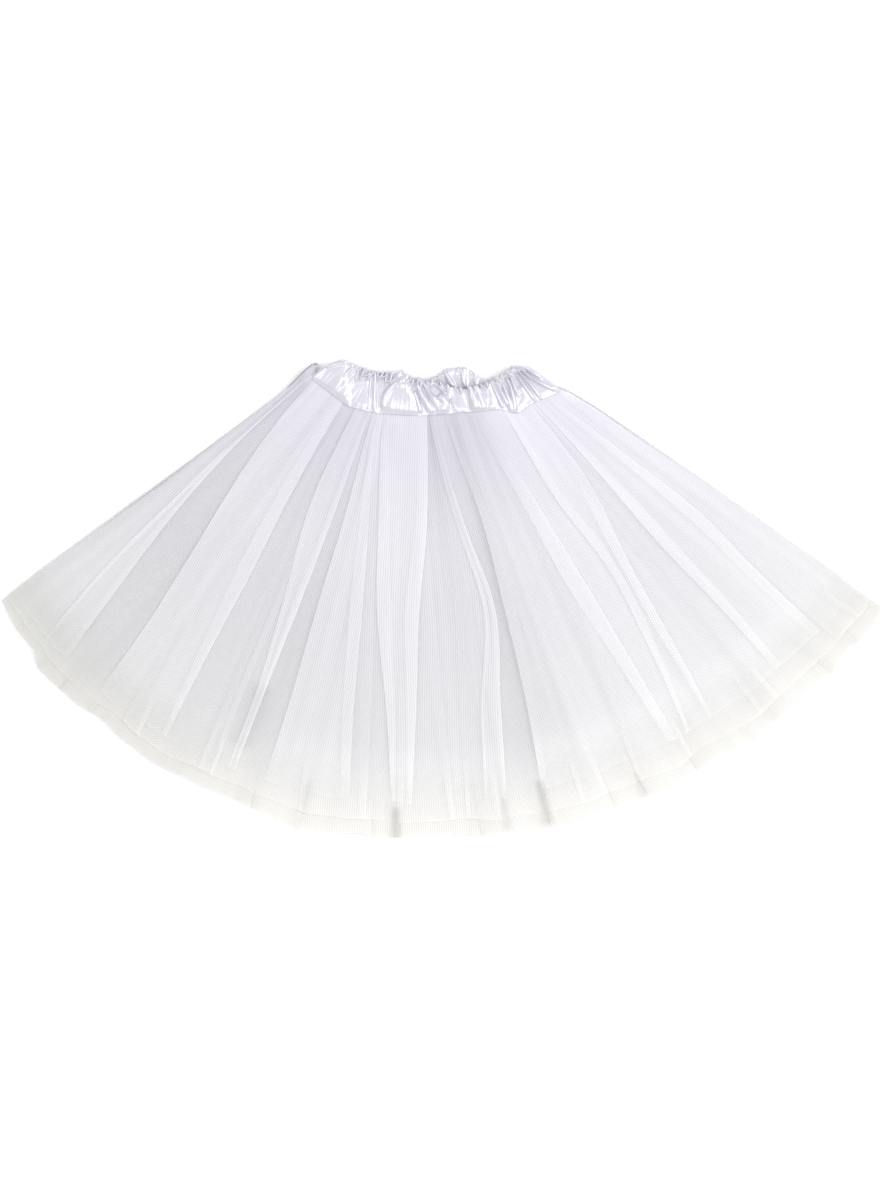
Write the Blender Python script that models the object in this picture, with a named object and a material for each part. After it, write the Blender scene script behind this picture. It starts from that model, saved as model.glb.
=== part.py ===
"""Ballet tutu skirt laid flat: three gathered tulle tubes inside one another,
sewn into a gathered satin waistband. The skirt fans out below the waist, the
waist toward +Y, and rests on the plane z = 0. Lengths are metres.
"""
import math

import bpy

# Cloth
WALL = 0.0010            # thickness of every cloth wall
PITCH = 0.0013           # middle to middle of two cloths lying on each other
HALF = WALL / 2

# Fan: all angles are degrees from straight down (-Y) about the fan's pole
LEFT_EDGE = -53.0        # side folds of the skirt
RIGHT_EDGE = 55.8
BAND_LEFT = -49.9        # side folds of the waistband
BAND_RIGHT = 54.4
SIDE_ROLL = 0.0019       # bevel of the skirt's outermost side fold
BAND_ROLL = 0.0034       # bevel of the waistband's side fold
ROLL_LOSS = 2 - math.sqrt(2)   # bevel lost for each metre further in
SIDE_RISE = 0.014        # from a side fold to where the layers reach their height
BAND_RISE = 0.006        # the same inside the waistband
SIDE_CLEAR = 0.0001      # side folds just off the floor, so the back pleats carry

# Depth of the skirt's rows below the waistband's lower edge
SEAM_INSIDE = 0.006      # tulle tops inside the casing
BELOW_BAND = 0.0015      # first row clear of the casing
PLEATS_STAND = 0.016     # pleats stand up but hardly overlap
PLEATS_CLOSED = 0.036    # pleats lie folded
FREE_ROWS = 3            # even rows from there to the hem
SPREAD = 0.0010          # between a pleat's four creases while it lies open in the seam
FIRST_TUCK = 0.0003      # tuck where the pleats stand up
CLOSED_TUCK = 0.8        # tuck of the closed row as a share of the first free row's
CLOSED_TURN = 0.3        # how far a fold line has turned there toward that row
SEAM_INSET = 3.0         # degrees from the band's side folds to the outermost pleats

# Heights
BAND_SWELL = 0.0016      # how far a gather of the satin stands out
SCALLOP = 0.0008         # how far a gather pushes the band's top edge up
GATHER_SWELL = 0.0020    # height of the soft gathers of the inner layers
SWELL_SHARES = (0.0, 0.0, 0.5, 1.0)   # their height at the first four rows
BAND_LAYERS = 9          # pitches between the band's two outer faces
BAND_DEPTH = 4           # pitches from the band's outer wall to its inner wall

# Waistband: angle, lower edge, top edge of the front half, top edge of the back half
WAIST_LINE = (
    (-49.9, 0.1230, 0.1080, 0.1080),
    (-46.0, 0.1220, 0.0930, 0.0930),
    (-40.0, 0.1204, 0.0880, 0.0880),
    (-30.0, 0.1210, 0.0839, 0.0839),
    (-20.0, 0.1167, 0.0796, 0.0796),
    (-10.0, 0.1140, 0.0746, 0.0746),
    (-4.0, 0.1130, 0.0800, 0.0775),
    (4.0, 0.1127, 0.0820, 0.0795),
    (11.0, 0.1136, 0.0815, 0.0790),
    (20.0, 0.1167, 0.0937, 0.0759),
    (30.0, 0.1250, 0.1010, 0.0824),
    (33.0, 0.1280, 0.1020, 0.0880),
    (38.0, 0.1410, 0.1040, 0.1000),
    (45.0, 0.1433, 0.1063, 0.1063),
    (49.5, 0.1487, 0.1090, 0.1090),
    (54.4, 0.1555, 0.1190, 0.1190),
)

# Hems: angle, outer layer, middle layer, inner layer
HEM_LINE = (
    (-53.0, 0.441, 0.448, 0.455),
    (-46.3, 0.444, 0.453, 0.463),
    (-45.0, 0.446, 0.458, 0.470),
    (-36.0, 0.448, 0.457, 0.469),
    (-28.0, 0.449, 0.463, 0.476),
    (-20.0, 0.449, 0.461, 0.474),
    (-14.0, 0.450, 0.468, 0.483),
    (-4.0, 0.450, 0.467, 0.480),
    (4.0, 0.450, 0.466, 0.479),
    (16.0, 0.451, 0.473, 0.488),
    (20.0, 0.451, 0.471, 0.485),
    (28.0, 0.452, 0.475, 0.490),
    (32.0, 0.453, 0.472, 0.486),
    (35.0, 0.454, 0.475, 0.490),
    (48.0, 0.459, 0.476, 0.489),
    (54.0, 0.464, 0.481, 0.496),
    (55.8, 0.462, 0.478, 0.490),
)

# Raised box pleats: left edge and right edge where they open, at the first and
# second free row and at the hem, then how far the cloth tucks back at those rows
FRONT_PLEATS = (
    (-46.4, -47.4, -46.2, -45.0, -43.6, -45.2, -43.6, -42.2, 0.0025, 0.004, 0.007),
    (-40.6, -42.3, -40.3, -38.8, -32.4, -30.4, -29.8, -29.5, 0.004, 0.007, 0.011),
    (-28.6, -26.8, -25.2, -24.2, -25.6, -23.4, -22.0, -21.0, 0.003, 0.004, 0.006),
    (-21.6, -18.6, -17.8, -17.4, -17.0, -13.4, -10.2, -6.9, 0.004, 0.007, 0.012),
    (-12.6, -9.2, -6.4, -3.9, 1.4, 0.8, 0.2, -0.4, 0.004, 0.006, 0.006),
    (5.6, 7.6, 7.6, 5.4, 9.2, 12.0, 12.0, 9.4, 0.003, 0.005, 0.007),
    (14.4, 15.2, 15.0, 14.2, 26.0, 28.2, 28.8, 29.0, 0.005, 0.008, 0.011),
    (33.2, 32.8, 33.3, 32.0, 41.0, 39.6, 37.4, 35.2, 0.004, 0.006, 0.006),
    (44.8, 43.8, 43.6, 43.4, 48.4, 50.2, 49.8, 49.4, 0.004, 0.007, 0.011),
)
BACK_PLEATS = (
    (-45.8, -45.6, -44.6, -44.0, -40.6, -38.4, -37.6, -37.0, 0.004, 0.007, 0.010),
    (-34.6, -33.0, -31.6, -31.0, -29.0, -26.4, -25.0, -24.4, 0.004, 0.007, 0.010),
    (-22.6, -20.2, -19.6, -18.4, -18.6, -15.8, -14.4, -12.6, 0.003, 0.005, 0.008),
    (-10.4, -9.6, -9.0, -8.6, -1.4, 1.0, 2.2, 3.6, 0.004, 0.008, 0.012),
    (5.4, 7.4, 8.0, 9.2, 10.2, 13.6, 14.4, 15.0, 0.004, 0.006, 0.008),
    (16.8, 19.0, 19.6, 20.4, 23.6, 24.6, 26.0, 27.4, 0.004, 0.006, 0.009),
    (29.6, 30.4, 31.0, 31.8, 35.4, 35.6, 36.2, 36.8, 0.003, 0.006, 0.008),
    (41.0, 41.6, 42.4, 42.8, 47.0, 48.6, 49.2, 49.6, 0.004, 0.007, 0.010),
)

# Soft gathers shared by the middle and inner layers: crest at waist, crest at
# hem, height as a share of GATHER_SWELL
SOFT_GATHERS = (
    (-44.0, -46.5, 0.8),
    (-36.5, -39.5, 1.0),
    (-29.5, -31.0, 0.7),
    (-21.5, -25.0, 1.0),
    (-14.0, -16.0, 0.8),
    (-6.5, -6.0, 1.0),
    (1.5, 3.0, 0.6),
    (9.0, 11.0, 1.0),
    (16.5, 18.5, 0.8),
    (24.5, 27.0, 1.0),
    (32.0, 34.5, 0.7),
    (39.0, 41.5, 1.0),
    (46.0, 48.5, 0.8),
)

# Gathers of the satin along one half of the band: middle, share of BAND_SWELL
BAND_GATHERS = (
    (-44.6, 0.7), (-41.0, 1.0), (-37.4, 0.6), (-33.6, 0.8), (-29.6, 1.0),
    (-25.6, 0.7), (-21.4, 0.9), (-17.0, 1.0), (-12.4, 0.6), (-8.0, 0.9),
    (-3.8, 0.7), (0.6, 1.0), (5.0, 0.8), (9.2, 0.6), (13.6, 1.0),
    (18.0, 0.7), (22.2, 0.9), (26.2, 0.6), (30.0, 1.0), (33.6, 0.8),
    (37.4, 0.7), (41.2, 1.0), (44.8, 0.6), (48.2, 0.9),
)
GATHER_CREST = 1.0       # half the flat crest of a band gather, degrees

# The casing's folded section: distance in from its outer face, share of the
# band's height, drop below that, share of the swell, share of the scallop
CASING = (
    (-HALF, 0.0, 0.0, 0.2, 0.0),
    (-HALF, 0.4, 0.0, 1.0, 0.0),
    (-HALF, 1.0, 0.0024, 0.9, 1.0),
    (0.0010, 1.0, 0.0, 0.5, 1.0),
    (0.0042, 1.0, 0.0, 0.0, 1.0),
    (BAND_DEPTH * PITCH + HALF, 1.0, 0.0024, 0.0, 0.0),
    (BAND_DEPTH * PITCH + HALF, 0.0, 0.0, 0.0, 0.0),
    (BAND_DEPTH * PITCH - HALF, 0.0, 0.0, 0.0, 0.0),
    (BAND_DEPTH * PITCH - HALF, 1.0, 0.0028, 0.0, 0.0),
    (0.0036, 1.0, 0.0011, 0.0, 1.0),
    (0.0016, 1.0, 0.0011, 0.5, 1.0),
    (HALF, 1.0, 0.0028, 0.9, 1.0),
    (HALF, 0.4, 0.0, 1.0, 0.0),
    (HALF, 0.0, 0.0, 0.2, 0.0),
)

SATIN = ((0.90, 0.89, 0.93), 0.35)
TULLE = ((0.88, 0.88, 0.92), 0.85)


def between(table, angle, column):
    """Value of a table's column at an angle, straight between its rows."""
    if angle <= table[0][0]:
        return table[0][column]
    for low, high in zip(table, table[1:]):
        if angle <= high[0]:
            share = (angle - low[0]) / (high[0] - low[0])
            return low[column] + share * (high[column] - low[column])
    return table[-1][column]


def place(angle, radius, height):
    """Point of the fan as x, y, z about its pole."""
    turn = math.radians(angle)
    return (radius * math.sin(turn), -radius * math.cos(turn), height)


def shifted(angle, radius, distance):
    """Angle moved along the row by a distance."""
    return angle + math.degrees(distance / radius)


def roll_at(first, depth):
    """Bevel of a side fold that lies a given depth inside the first one."""
    return first - ROLL_LOSS * depth


# ---------------------------------------------------------------- tulle rows

class Row:
    """One row across a tulle tube, from the seam (row 0) to the hem."""

    def __init__(self, number, layer):
        self.number = number
        self.layer = layer
        self.in_band = number < 2
        self.left = BAND_LEFT if self.in_band else LEFT_EDGE
        self.right = BAND_RIGHT if self.in_band else RIGHT_EDGE

    def radius(self, angle):
        """Distance of the row from the pole."""
        lower_edge = between(WAIST_LINE, angle, 1)
        depths = (-SEAM_INSIDE, BELOW_BAND, PLEATS_STAND, PLEATS_CLOSED)
        if self.number < len(depths):
            return lower_edge + depths[self.number]
        start = lower_edge + PLEATS_CLOSED
        hem = between(HEM_LINE, angle, 1 + self.layer)
        share = (self.number - len(depths) + 1) / FREE_ROWS
        return start + share * (hem - start)

    def squeezed(self, angle):
        """Angle of a fold line in this row; the band draws the cloth in."""
        if not self.in_band:
            return angle
        share = (angle - LEFT_EDGE) / (RIGHT_EDGE - LEFT_EDGE)
        left = BAND_LEFT + SEAM_INSET
        return left + share * (BAND_RIGHT - SEAM_INSET - left)

    def ply_height(self, ply, lifted):
        """Middle of a ply; 0 is the outer layer's back, 5 its front."""
        if self.in_band:
            step = ply + 1 if ply < 3 else ply + 3
            return BAND_SWELL + HALF + step * PITCH
        height = HALF + ply * PITCH
        if not lifted:
            return height + SIDE_CLEAR
        height += 2 * PITCH
        return height + GATHER_SWELL if ply == 5 else height


def fold_angle(row, angles):
    """Angle of a fold edge in a row, from its four table angles."""
    opened, first, second, hem = angles
    if row.number <= 2:
        return row.squeezed(opened)
    if row.number == 3:
        return opened + CLOSED_TURN * (first - opened)
    return (first, second, hem)[row.number - 4]


def edge_points(row, angle, tuck, side):
    """Four points of a pleat's edge: (angle, level in pitches) from the left.

    side is +1 for a right edge and -1 for a left edge.
    """
    radius = row.radius(angle)
    if row.in_band:
        steps = [(share * SPREAD, 0.0) for share in (-1.5, -0.5, 0.5, 1.5)]
    elif row.number == 2:
        steps = ((0.0, 2.0), (0.0, 1.15), (-FIRST_TUCK, 0.85), (-FIRST_TUCK, 0.0))
    else:
        steps = ((0.0, 2.0), (0.0, 1.0), (-tuck, 1.0), (-tuck, 0.0))
    points = [(shifted(angle, radius, side * step), level) for step, level in steps]
    return points if side > 0 else points[::-1]


def pleated_ply(row, ply, pleats):
    """Outer layer's front or back from left to right."""
    rise = 1 if ply == 5 else -1
    base = row.ply_height(ply, True)
    points = [(rise_angle(row, -1), base)]
    for pleat in pleats:
        tuck = pleat_tuck(row, pleat)
        for angles, side in ((pleat[0:4], -1), (pleat[4:8], 1)):
            angle = fold_angle(row, angles)
            for spot, level in edge_points(row, angle, tuck, side):
                points.append((spot, base + rise * level * PITCH))
    points.append((rise_angle(row, 1), base))
    return points


def pleat_tuck(row, pleat):
    """How far a pleat tucks back in a row."""
    if row.number <= 3:
        return CLOSED_TUCK * pleat[8]
    return pleat[8 + row.number - 4]


def soft_ply(row, ply):
    """Middle or inner layer's front or back from left to right."""
    base = row.ply_height(ply, True)
    swell = SWELL_SHARES[min(row.number, 3)] * GATHER_SWELL
    share = max(0, row.number - 3) / FREE_ROWS
    points = [(rise_angle(row, -1), base)]
    crests = [waist + share * (hem - waist) for waist, hem, high in SOFT_GATHERS]
    for index, gather in enumerate(SOFT_GATHERS):
        crest = crests[index]
        points.append((row.squeezed(crest), base + swell * gather[2]))
        if index + 1 < len(crests):
            valley = (crest + crests[index + 1]) / 2
            points.append((row.squeezed(valley), base))
    points.append((rise_angle(row, 1), base))
    return points


def rise_angle(row, side):
    """Where the layers reach their full height beside a side fold."""
    edge = row.left if side < 0 else row.right
    distance = BAND_RISE if row.in_band else SIDE_RISE
    return shifted(edge, row.radius(edge), -side * distance)


def side_points(row, layer, side):
    """Four points round a side fold, from the front ply to the back ply."""
    edge = row.left if side < 0 else row.right
    radius = row.radius(edge)
    depth = layer * PITCH
    if row.in_band:
        roll = roll_at(BAND_ROLL, depth + PITCH)
        depth += PITCH
    else:
        roll = roll_at(SIDE_ROLL, depth)
    top = row.ply_height(5 - layer, False)
    bottom = row.ply_height(layer, False)
    near = shifted(edge, radius, -side * (depth + roll))
    far = shifted(edge, radius, -side * depth)
    return [(near, top), (far, top - roll), (far, bottom + roll), (near, bottom)]


def tube_row(row, layer):
    """Closed middle line of a tube in one row, front ply first."""
    if layer == 0:
        front = pleated_ply(row, 5, FRONT_PLEATS)
        back = pleated_ply(row, 0, BACK_PLEATS)
    else:
        front = soft_ply(row, 5 - layer)
        back = soft_ply(row, layer)
    right = side_points(row, layer, 1)
    left = side_points(row, layer, -1)[::-1]
    return front + right + back[::-1] + left


def unit_normal(start, end, radius):
    """Unit normal, outward, of a piece of a closed row."""
    along = math.radians(end[0] - start[0]) * radius
    up = end[1] - start[1]
    length = math.hypot(along, up)
    return (-up / length, along / length)


def moved_out(points, radius_of, distance):
    """Closed row moved out of the cloth's middle by a distance."""
    moved = []
    for index, point in enumerate(points):
        before = points[index - 1]
        after = points[(index + 1) % len(points)]
        radius = radius_of(point[0])
        first = unit_normal(before, point, radius)
        second = unit_normal(point, after, radius)
        scale = distance / (1 + first[0] * second[0] + first[1] * second[1])
        angle = shifted(point[0], radius, scale * (first[0] + second[0]))
        moved.append((angle, point[1] + scale * (first[1] + second[1])))
    return moved


# ------------------------------------------------------------------ meshing

def skin_faces(starts, count, angles):
    """Triangles between rows of a closed loop; diagonals follow the angle."""
    faces = []
    for start, following in zip(starts, starts[1:]):
        for index in range(count):
            other = (index + 1) % count
            a, b = start + index, start + other
            d, c = following + index, following + other
            if angles[a] <= angles[b]:
                faces += [(a, b, c), (a, c, d)]
            else:
                faces += [(a, b, d), (b, c, d)]
    return faces


def rim_faces(outer, inner, count):
    """Triangles across the wall at a cut edge."""
    faces = []
    for index in range(count):
        other = (index + 1) % count
        faces += [(outer + index, inner + index, inner + other),
                  (outer + index, inner + other, outer + other)]
    return faces


def flipped(faces):
    """The same faces turned over."""
    return [face[::-1] for face in faces]


def tulle_tube(name, layer):
    """Build one tulle layer as a tube with a wall, open at waist and hem."""
    rows = [Row(number, layer) for number in range(4 + FREE_ROWS)]
    verts, angles, outer, inner = [], [], [], []
    for starts, distance in ((outer, HALF), (inner, -HALF)):
        for row in rows:
            starts.append(len(verts))
            middle = tube_row(row, layer)
            angles += [angle for angle, height in middle]
            for angle, height in moved_out(middle, row.radius, distance):
                verts.append(place(angle, row.radius(angle), height))
    count = outer[1] - outer[0]
    faces = flipped(skin_faces(outer, count, angles))
    faces += skin_faces(inner, count, angles)
    faces += flipped(rim_faces(outer[0], inner[0], count))
    faces += rim_faces(outer[-1], inner[-1], count)
    return solid(name, verts, faces, TULLE)


# ---------------------------------------------------------------- waistband

def gather_columns():
    """Angle and swell of each column of one half of the band, ends left out."""
    columns = []
    for index, (middle, share) in enumerate(BAND_GATHERS):
        columns.append((middle - GATHER_CREST, share))
        columns.append((middle + GATHER_CREST, share))
        if index + 1 < len(BAND_GATHERS):
            columns.append(((middle + BAND_GATHERS[index + 1][0]) / 2, 0.0))
    return columns


def casing_radius(angle, section, swell, half):
    """Distance from the pole of a line of the casing's section."""
    share, drop, scallop_share = section[1], section[2], section[4]
    low = between(WAIST_LINE, angle, 1)
    top = between(WAIST_LINE, angle, half)
    return low - share * (low - top) + drop - SCALLOP * scallop_share * swell


def casing_point(angle, inset, swell, section, half):
    """A point of the casing: half is 2 for the front and 3 for the back."""
    depth, swell_share = section[0], section[3]
    angle = shifted(angle, casing_radius(angle, section, 0.0, half), inset)
    radius = casing_radius(angle, section, swell, half)
    outward = BAND_SWELL * swell_share * swell
    floor = BAND_SWELL + HALF
    if half == 2:
        return place(angle, radius, floor + BAND_LAYERS * PITCH - depth + outward)
    return place(angle, radius, floor + depth - outward)


def casing_side(section, side):
    """Four points of one casing line round a side fold, front to back."""
    depth = section[0]
    roll = roll_at(BAND_ROLL, depth)
    edge = BAND_LEFT if side < 0 else BAND_RIGHT
    lowered = (depth + roll,) + section[1:]
    near = -side * (depth + roll)
    far = -side * depth
    return [
        casing_point(edge, near, 0.0, section, 2),
        casing_point(edge, far, 0.0, lowered, 2),
        casing_point(edge, far, 0.0, lowered, 3),
        casing_point(edge, near, 0.0, section, 3),
    ]


def casing_line(section):
    """One line of the casing all the way round the waist."""
    front = [casing_point(angle, 0.0, swell, section, 2)
             for angle, swell in gather_columns()]
    back = [casing_point(angle, 0.0, swell, section, 3)
            for angle, swell in gather_columns()]
    return front + casing_side(section, 1) + back[::-1] + casing_side(section, -1)[::-1]


def waistband():
    """Build the satin casing: a strip folded along its length and gathered."""
    lines = [casing_line(section) for section in CASING]
    verts = [point for line in lines for point in line]
    count = len(lines[0])
    faces = []
    for row in range(len(lines)):
        start = row * count
        following = ((row + 1) % len(lines)) * count
        for index in range(count):
            other = (index + 1) % count
            a, b = start + index, start + other
            d, c = following + index, following + other
            faces += [(a, b, c), (a, c, d)]
    return solid("waistband", verts, faces, SATIN)


# ------------------------------------------------------------------- objects

def solid(name, verts, faces, look):
    """Make a named object with its own material."""
    mesh = bpy.data.meshes.new(name)
    mesh.from_pydata(verts, [], faces)
    mesh.validate()
    mesh.update()
    thing = bpy.data.objects.new(name, mesh)
    bpy.context.scene.collection.objects.link(thing)
    material = bpy.data.materials.new(name + "_cloth")
    material.use_nodes = True
    shader = material.node_tree.nodes["Principled BSDF"]
    colour, roughness = look
    shader.inputs["Base Color"].default_value = colour + (1.0,)
    shader.inputs["Roughness"].default_value = roughness
    shader.inputs["Metallic"].default_value = 0.0
    mesh.materials.append(material)
    return thing


def centre_on_floor(things):
    """Move all pieces together so that their box stands centred on the origin."""
    points = [vertex.co for thing in things for vertex in thing.data.vertices]
    middle = [(min(p[axis] for p in points) + max(p[axis] for p in points)) / 2
              for axis in range(2)]
    floor = min(point[2] for point in points)
    for thing in things:
        for vertex in thing.data.vertices:
            vertex.co.x -= middle[0]
            vertex.co.y -= middle[1]
            vertex.co.z -= floor


def main():
    for thing in list(bpy.data.objects):
        bpy.data.objects.remove(thing, do_unlink=True)
    pieces = [
        waistband(),
        tulle_tube("tulle_outer", 0),
        tulle_tube("tulle_middle", 1),
        tulle_tube("tulle_inner", 2),
    ]
    centre_on_floor(pieces)


main()
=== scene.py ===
"""Dresses the ballet tutu: net layers, satin waistband, stitching and stage.

Lengths are metres unless a name ends in _mm; angles are degrees from straight
down (-Y) about the pole of the fan.
"""
import math

import bpy
import numpy as np
from bpy.props import FloatProperty, FloatVectorProperty, IntProperty, PointerProperty
from bpy.types import Operator, Panel, PropertyGroup
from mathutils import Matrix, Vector


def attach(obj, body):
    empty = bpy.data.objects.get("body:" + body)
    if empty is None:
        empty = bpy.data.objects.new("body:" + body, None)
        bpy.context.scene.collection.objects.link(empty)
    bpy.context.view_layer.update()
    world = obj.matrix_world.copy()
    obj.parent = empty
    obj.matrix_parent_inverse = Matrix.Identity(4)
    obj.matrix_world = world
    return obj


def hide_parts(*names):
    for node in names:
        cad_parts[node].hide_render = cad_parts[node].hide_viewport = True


bl_info = {
    "name": "Ballet Tutu",
    "version": (1, 0, 0),
    "blender": (4, 5, 0),
    "location": "3D View > Sidebar > Tutu",
    "description": "Net layers, ruched satin waistband and stage of a tutu laid flat",
    "category": "Object",
}

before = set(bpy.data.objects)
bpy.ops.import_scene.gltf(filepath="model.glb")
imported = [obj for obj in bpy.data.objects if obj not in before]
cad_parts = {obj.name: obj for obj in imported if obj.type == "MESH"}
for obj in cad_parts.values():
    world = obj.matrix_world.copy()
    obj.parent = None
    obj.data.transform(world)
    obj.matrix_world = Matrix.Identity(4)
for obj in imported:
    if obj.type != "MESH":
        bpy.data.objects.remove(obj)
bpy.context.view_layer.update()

# ------------------------------------------------------------ the fan's form

POLE = (-0.0212, 0.2720)     # where the fan's fold lines meet
HALF = 0.0005                # half a cloth wall of the solid model
PITCH = 0.0013               # from one layer to the next where they lie together
BAND_SWELL = 0.0016          # room under the waistband for its gathers
GATHER_SWELL = 0.0020        # height of the inner layers' soft gathers
LEFT_EDGE, RIGHT_EDGE = -53.3, 55.7
BAND_LEFT, BAND_RIGHT = -49.9, 54.4
SEAM_INSIDE = 0.006          # net held inside the casing
SPREAD_START, SPREAD_END = 0.0015, 0.018   # below the band the net fans out
SIDE_RISE = 0.014            # side folds reach the full height over this width
STATIONS = (0.0, 0.25, 0.5, 0.75, 1.0)     # waist to hem, where fold rows give angles

# angle, lower edge, top edge of the front half, top edge of the back half
WAIST_LINE = np.array((
    (-49.9, 0.1230, 0.1070, 0.1070),
    (-46.0, 0.1220, 0.0920, 0.0920),
    (-40.0, 0.1204, 0.0880, 0.0880),
    (-30.0, 0.1210, 0.0839, 0.0839),
    (-20.0, 0.1167, 0.0796, 0.0796),
    (-10.0, 0.1140, 0.0746, 0.0746),
    (-4.0, 0.1130, 0.0815, 0.0795),
    (4.0, 0.1127, 0.0832, 0.0810),
    (11.0, 0.1136, 0.0825, 0.0803),
    (20.0, 0.1167, 0.0937, 0.0750),
    (30.0, 0.1250, 0.1010, 0.0812),
    (33.0, 0.1280, 0.1020, 0.0880),
    (35.0, 0.1332, 0.1030, 0.0995),
    (38.0, 0.1410, 0.1040, 0.1020),
    (45.0, 0.1433, 0.1063, 0.1063),
    (49.5, 0.1487, 0.1080, 0.1080),
    (54.4, 0.1555, 0.1165, 0.1165),
))

# distance below the band, then the angles of the skirt's left and right side folds
SIDE_LINE = np.array((
    (-0.006, -50.6, 54.5),
    (0.000, -51.2, 55.1),
    (0.010, -51.8, 55.8),
    (0.033, -52.2, 56.3),
    (0.095, -52.6, 56.2),
    (0.200, -53.1, 56.0),
    (0.335, -53.3, 55.7),
))

# angle, outer hem, middle hem, inner hem
HEM_LINE = np.array((
    (-53.0, 0.441, 0.448, 0.455),
    (-46.3, 0.444, 0.453, 0.463),
    (-45.0, 0.446, 0.458, 0.470),
    (-36.0, 0.448, 0.457, 0.469),
    (-28.0, 0.449, 0.463, 0.476),
    (-20.0, 0.449, 0.461, 0.474),
    (-14.0, 0.450, 0.468, 0.483),
    (-4.0, 0.450, 0.467, 0.480),
    (4.0, 0.450, 0.466, 0.479),
    (16.0, 0.451, 0.473, 0.488),
    (20.0, 0.451, 0.471, 0.485),
    (28.0, 0.452, 0.475, 0.490),
    (32.0, 0.453, 0.472, 0.486),
    (35.0, 0.454, 0.476, 0.492),
    (48.0, 0.459, 0.477, 0.492),
    (54.0, 0.464, 0.481, 0.496),
    (55.8, 0.462, 0.478, 0.490),
))

# Pleats of each half of each layer: side (-1 left edge, 1 right edge), the edge's
# angle at the five stations, then how far the cloth tucks back at waist, middle
# and hem in millimetres. Left and right edges alternate: each pair lifts a panel.
OUTER_FRONT = (
    (-1, (-52.4, -51.0, -49.5, -48.4, -46.8), (3, 4, 3)),
    (1, (-51.4, -49.8, -47.4, -45.0, -43.3), (4, 8, 5)),
    (-1, (-49.4, -44.6, -41.0, -38.9, -38.2), (5.5, 15.5, 12)),
    (1, (-32.7, -31.5, -30.2, -29.7, -29.2), (7, 13, 4.5)),
    (-1, (-27.2, -26.6, -23.6, -21.9, -21.6), (3, 5, 2)),
    (1, (-20.6, -20.2, -20.3, -20.6, -20.7), (4, 6.5, 2)),
    (-1, (-19.6, -17.8, -17.5, -17.2, -17.3), (4, 10.5, 5)),
    (1, (-17.0, -12.2, -9.8, -8.7, -7.6), (4, 11.5, 8)),
    (-1, (-15.0, -10.0, -7.3, -4.4, -2.9), (5.5, 13, 3)),
    (1, (4.0, 2.4, 0.3, -0.2, -0.7), (7, 13, 4)),
    (-1, (4.9, 8.6, 11.4, 8.6, 7.4), (3, 4, 2.5)),
    (1, (7.1, 10.6, 13.5, 11.3, 9.8), (3, 6.5, 3.5)),
    (-1, (11.4, 15.0, 15.0, 14.6, 13.8), (4, 10.5, 6)),
    (1, (26.6, 28.6, 29.4, 29.7, 29.8), (7, 15.5, 8)),
    (-1, (34.2, 32.8, 33.9, 32.6, 31.0), (4, 10.5, 3.5)),
    (1, (43.6, 41.4, 37.6, 35.8, 34.4), (5.5, 11.5, 3.5)),
    (-1, (45.0, 44.0, 43.1, 43.2, 43.0), (4, 11.5, 7)),
    (1, (50.4, 51.0, 51.4, 50.2, 49.6), (4, 10.5, 8)),
)
OUTER_BACK = (
    (-1, (-45.8, -45.4, -44.6, -44.2, -44.0), (5.5, 13, 6)),
    (1, (-40.6, -39.0, -38.0, -37.4, -37.0), (5.5, 13, 6)),
    (-1, (-34.6, -33.2, -32.0, -31.4, -31.0), (5.5, 13, 6)),
    (1, (-29.0, -27.0, -25.6, -24.8, -24.4), (5.5, 13, 6)),
    (-1, (-22.6, -20.6, -19.8, -19.0, -18.4), (4, 9, 4.5)),
    (1, (-18.6, -16.4, -15.0, -13.6, -12.6), (4, 9, 4.5)),
    (-1, (-10.4, -9.8, -9.2, -8.8, -8.6), (7, 15.5, 7)),
    (1, (-1.4, 0.4, 1.7, 2.7, 3.6), (7, 15.5, 7)),
    (-1, (5.4, 6.9, 7.7, 8.5, 9.2), (4, 10.5, 4.5)),
    (1, (10.2, 12.8, 14.0, 14.6, 15.0), (4, 10.5, 4.5)),
    (-1, (16.8, 18.4, 19.3, 19.9, 20.4), (5.5, 13, 6)),
    (1, (23.6, 24.4, 25.4, 26.5, 27.4), (5.5, 13, 6)),
    (-1, (29.6, 30.2, 30.8, 31.4, 31.8), (5.5, 11.5, 5)),
    (1, (35.4, 35.6, 35.9, 36.4, 36.8), (5.5, 11.5, 5)),
    (-1, (41.0, 41.4, 42.0, 42.5, 42.8), (5.5, 14.5, 7)),
    (1, (47.0, 48.2, 48.9, 49.3, 49.6), (5.5, 14.5, 7)),
)
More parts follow.
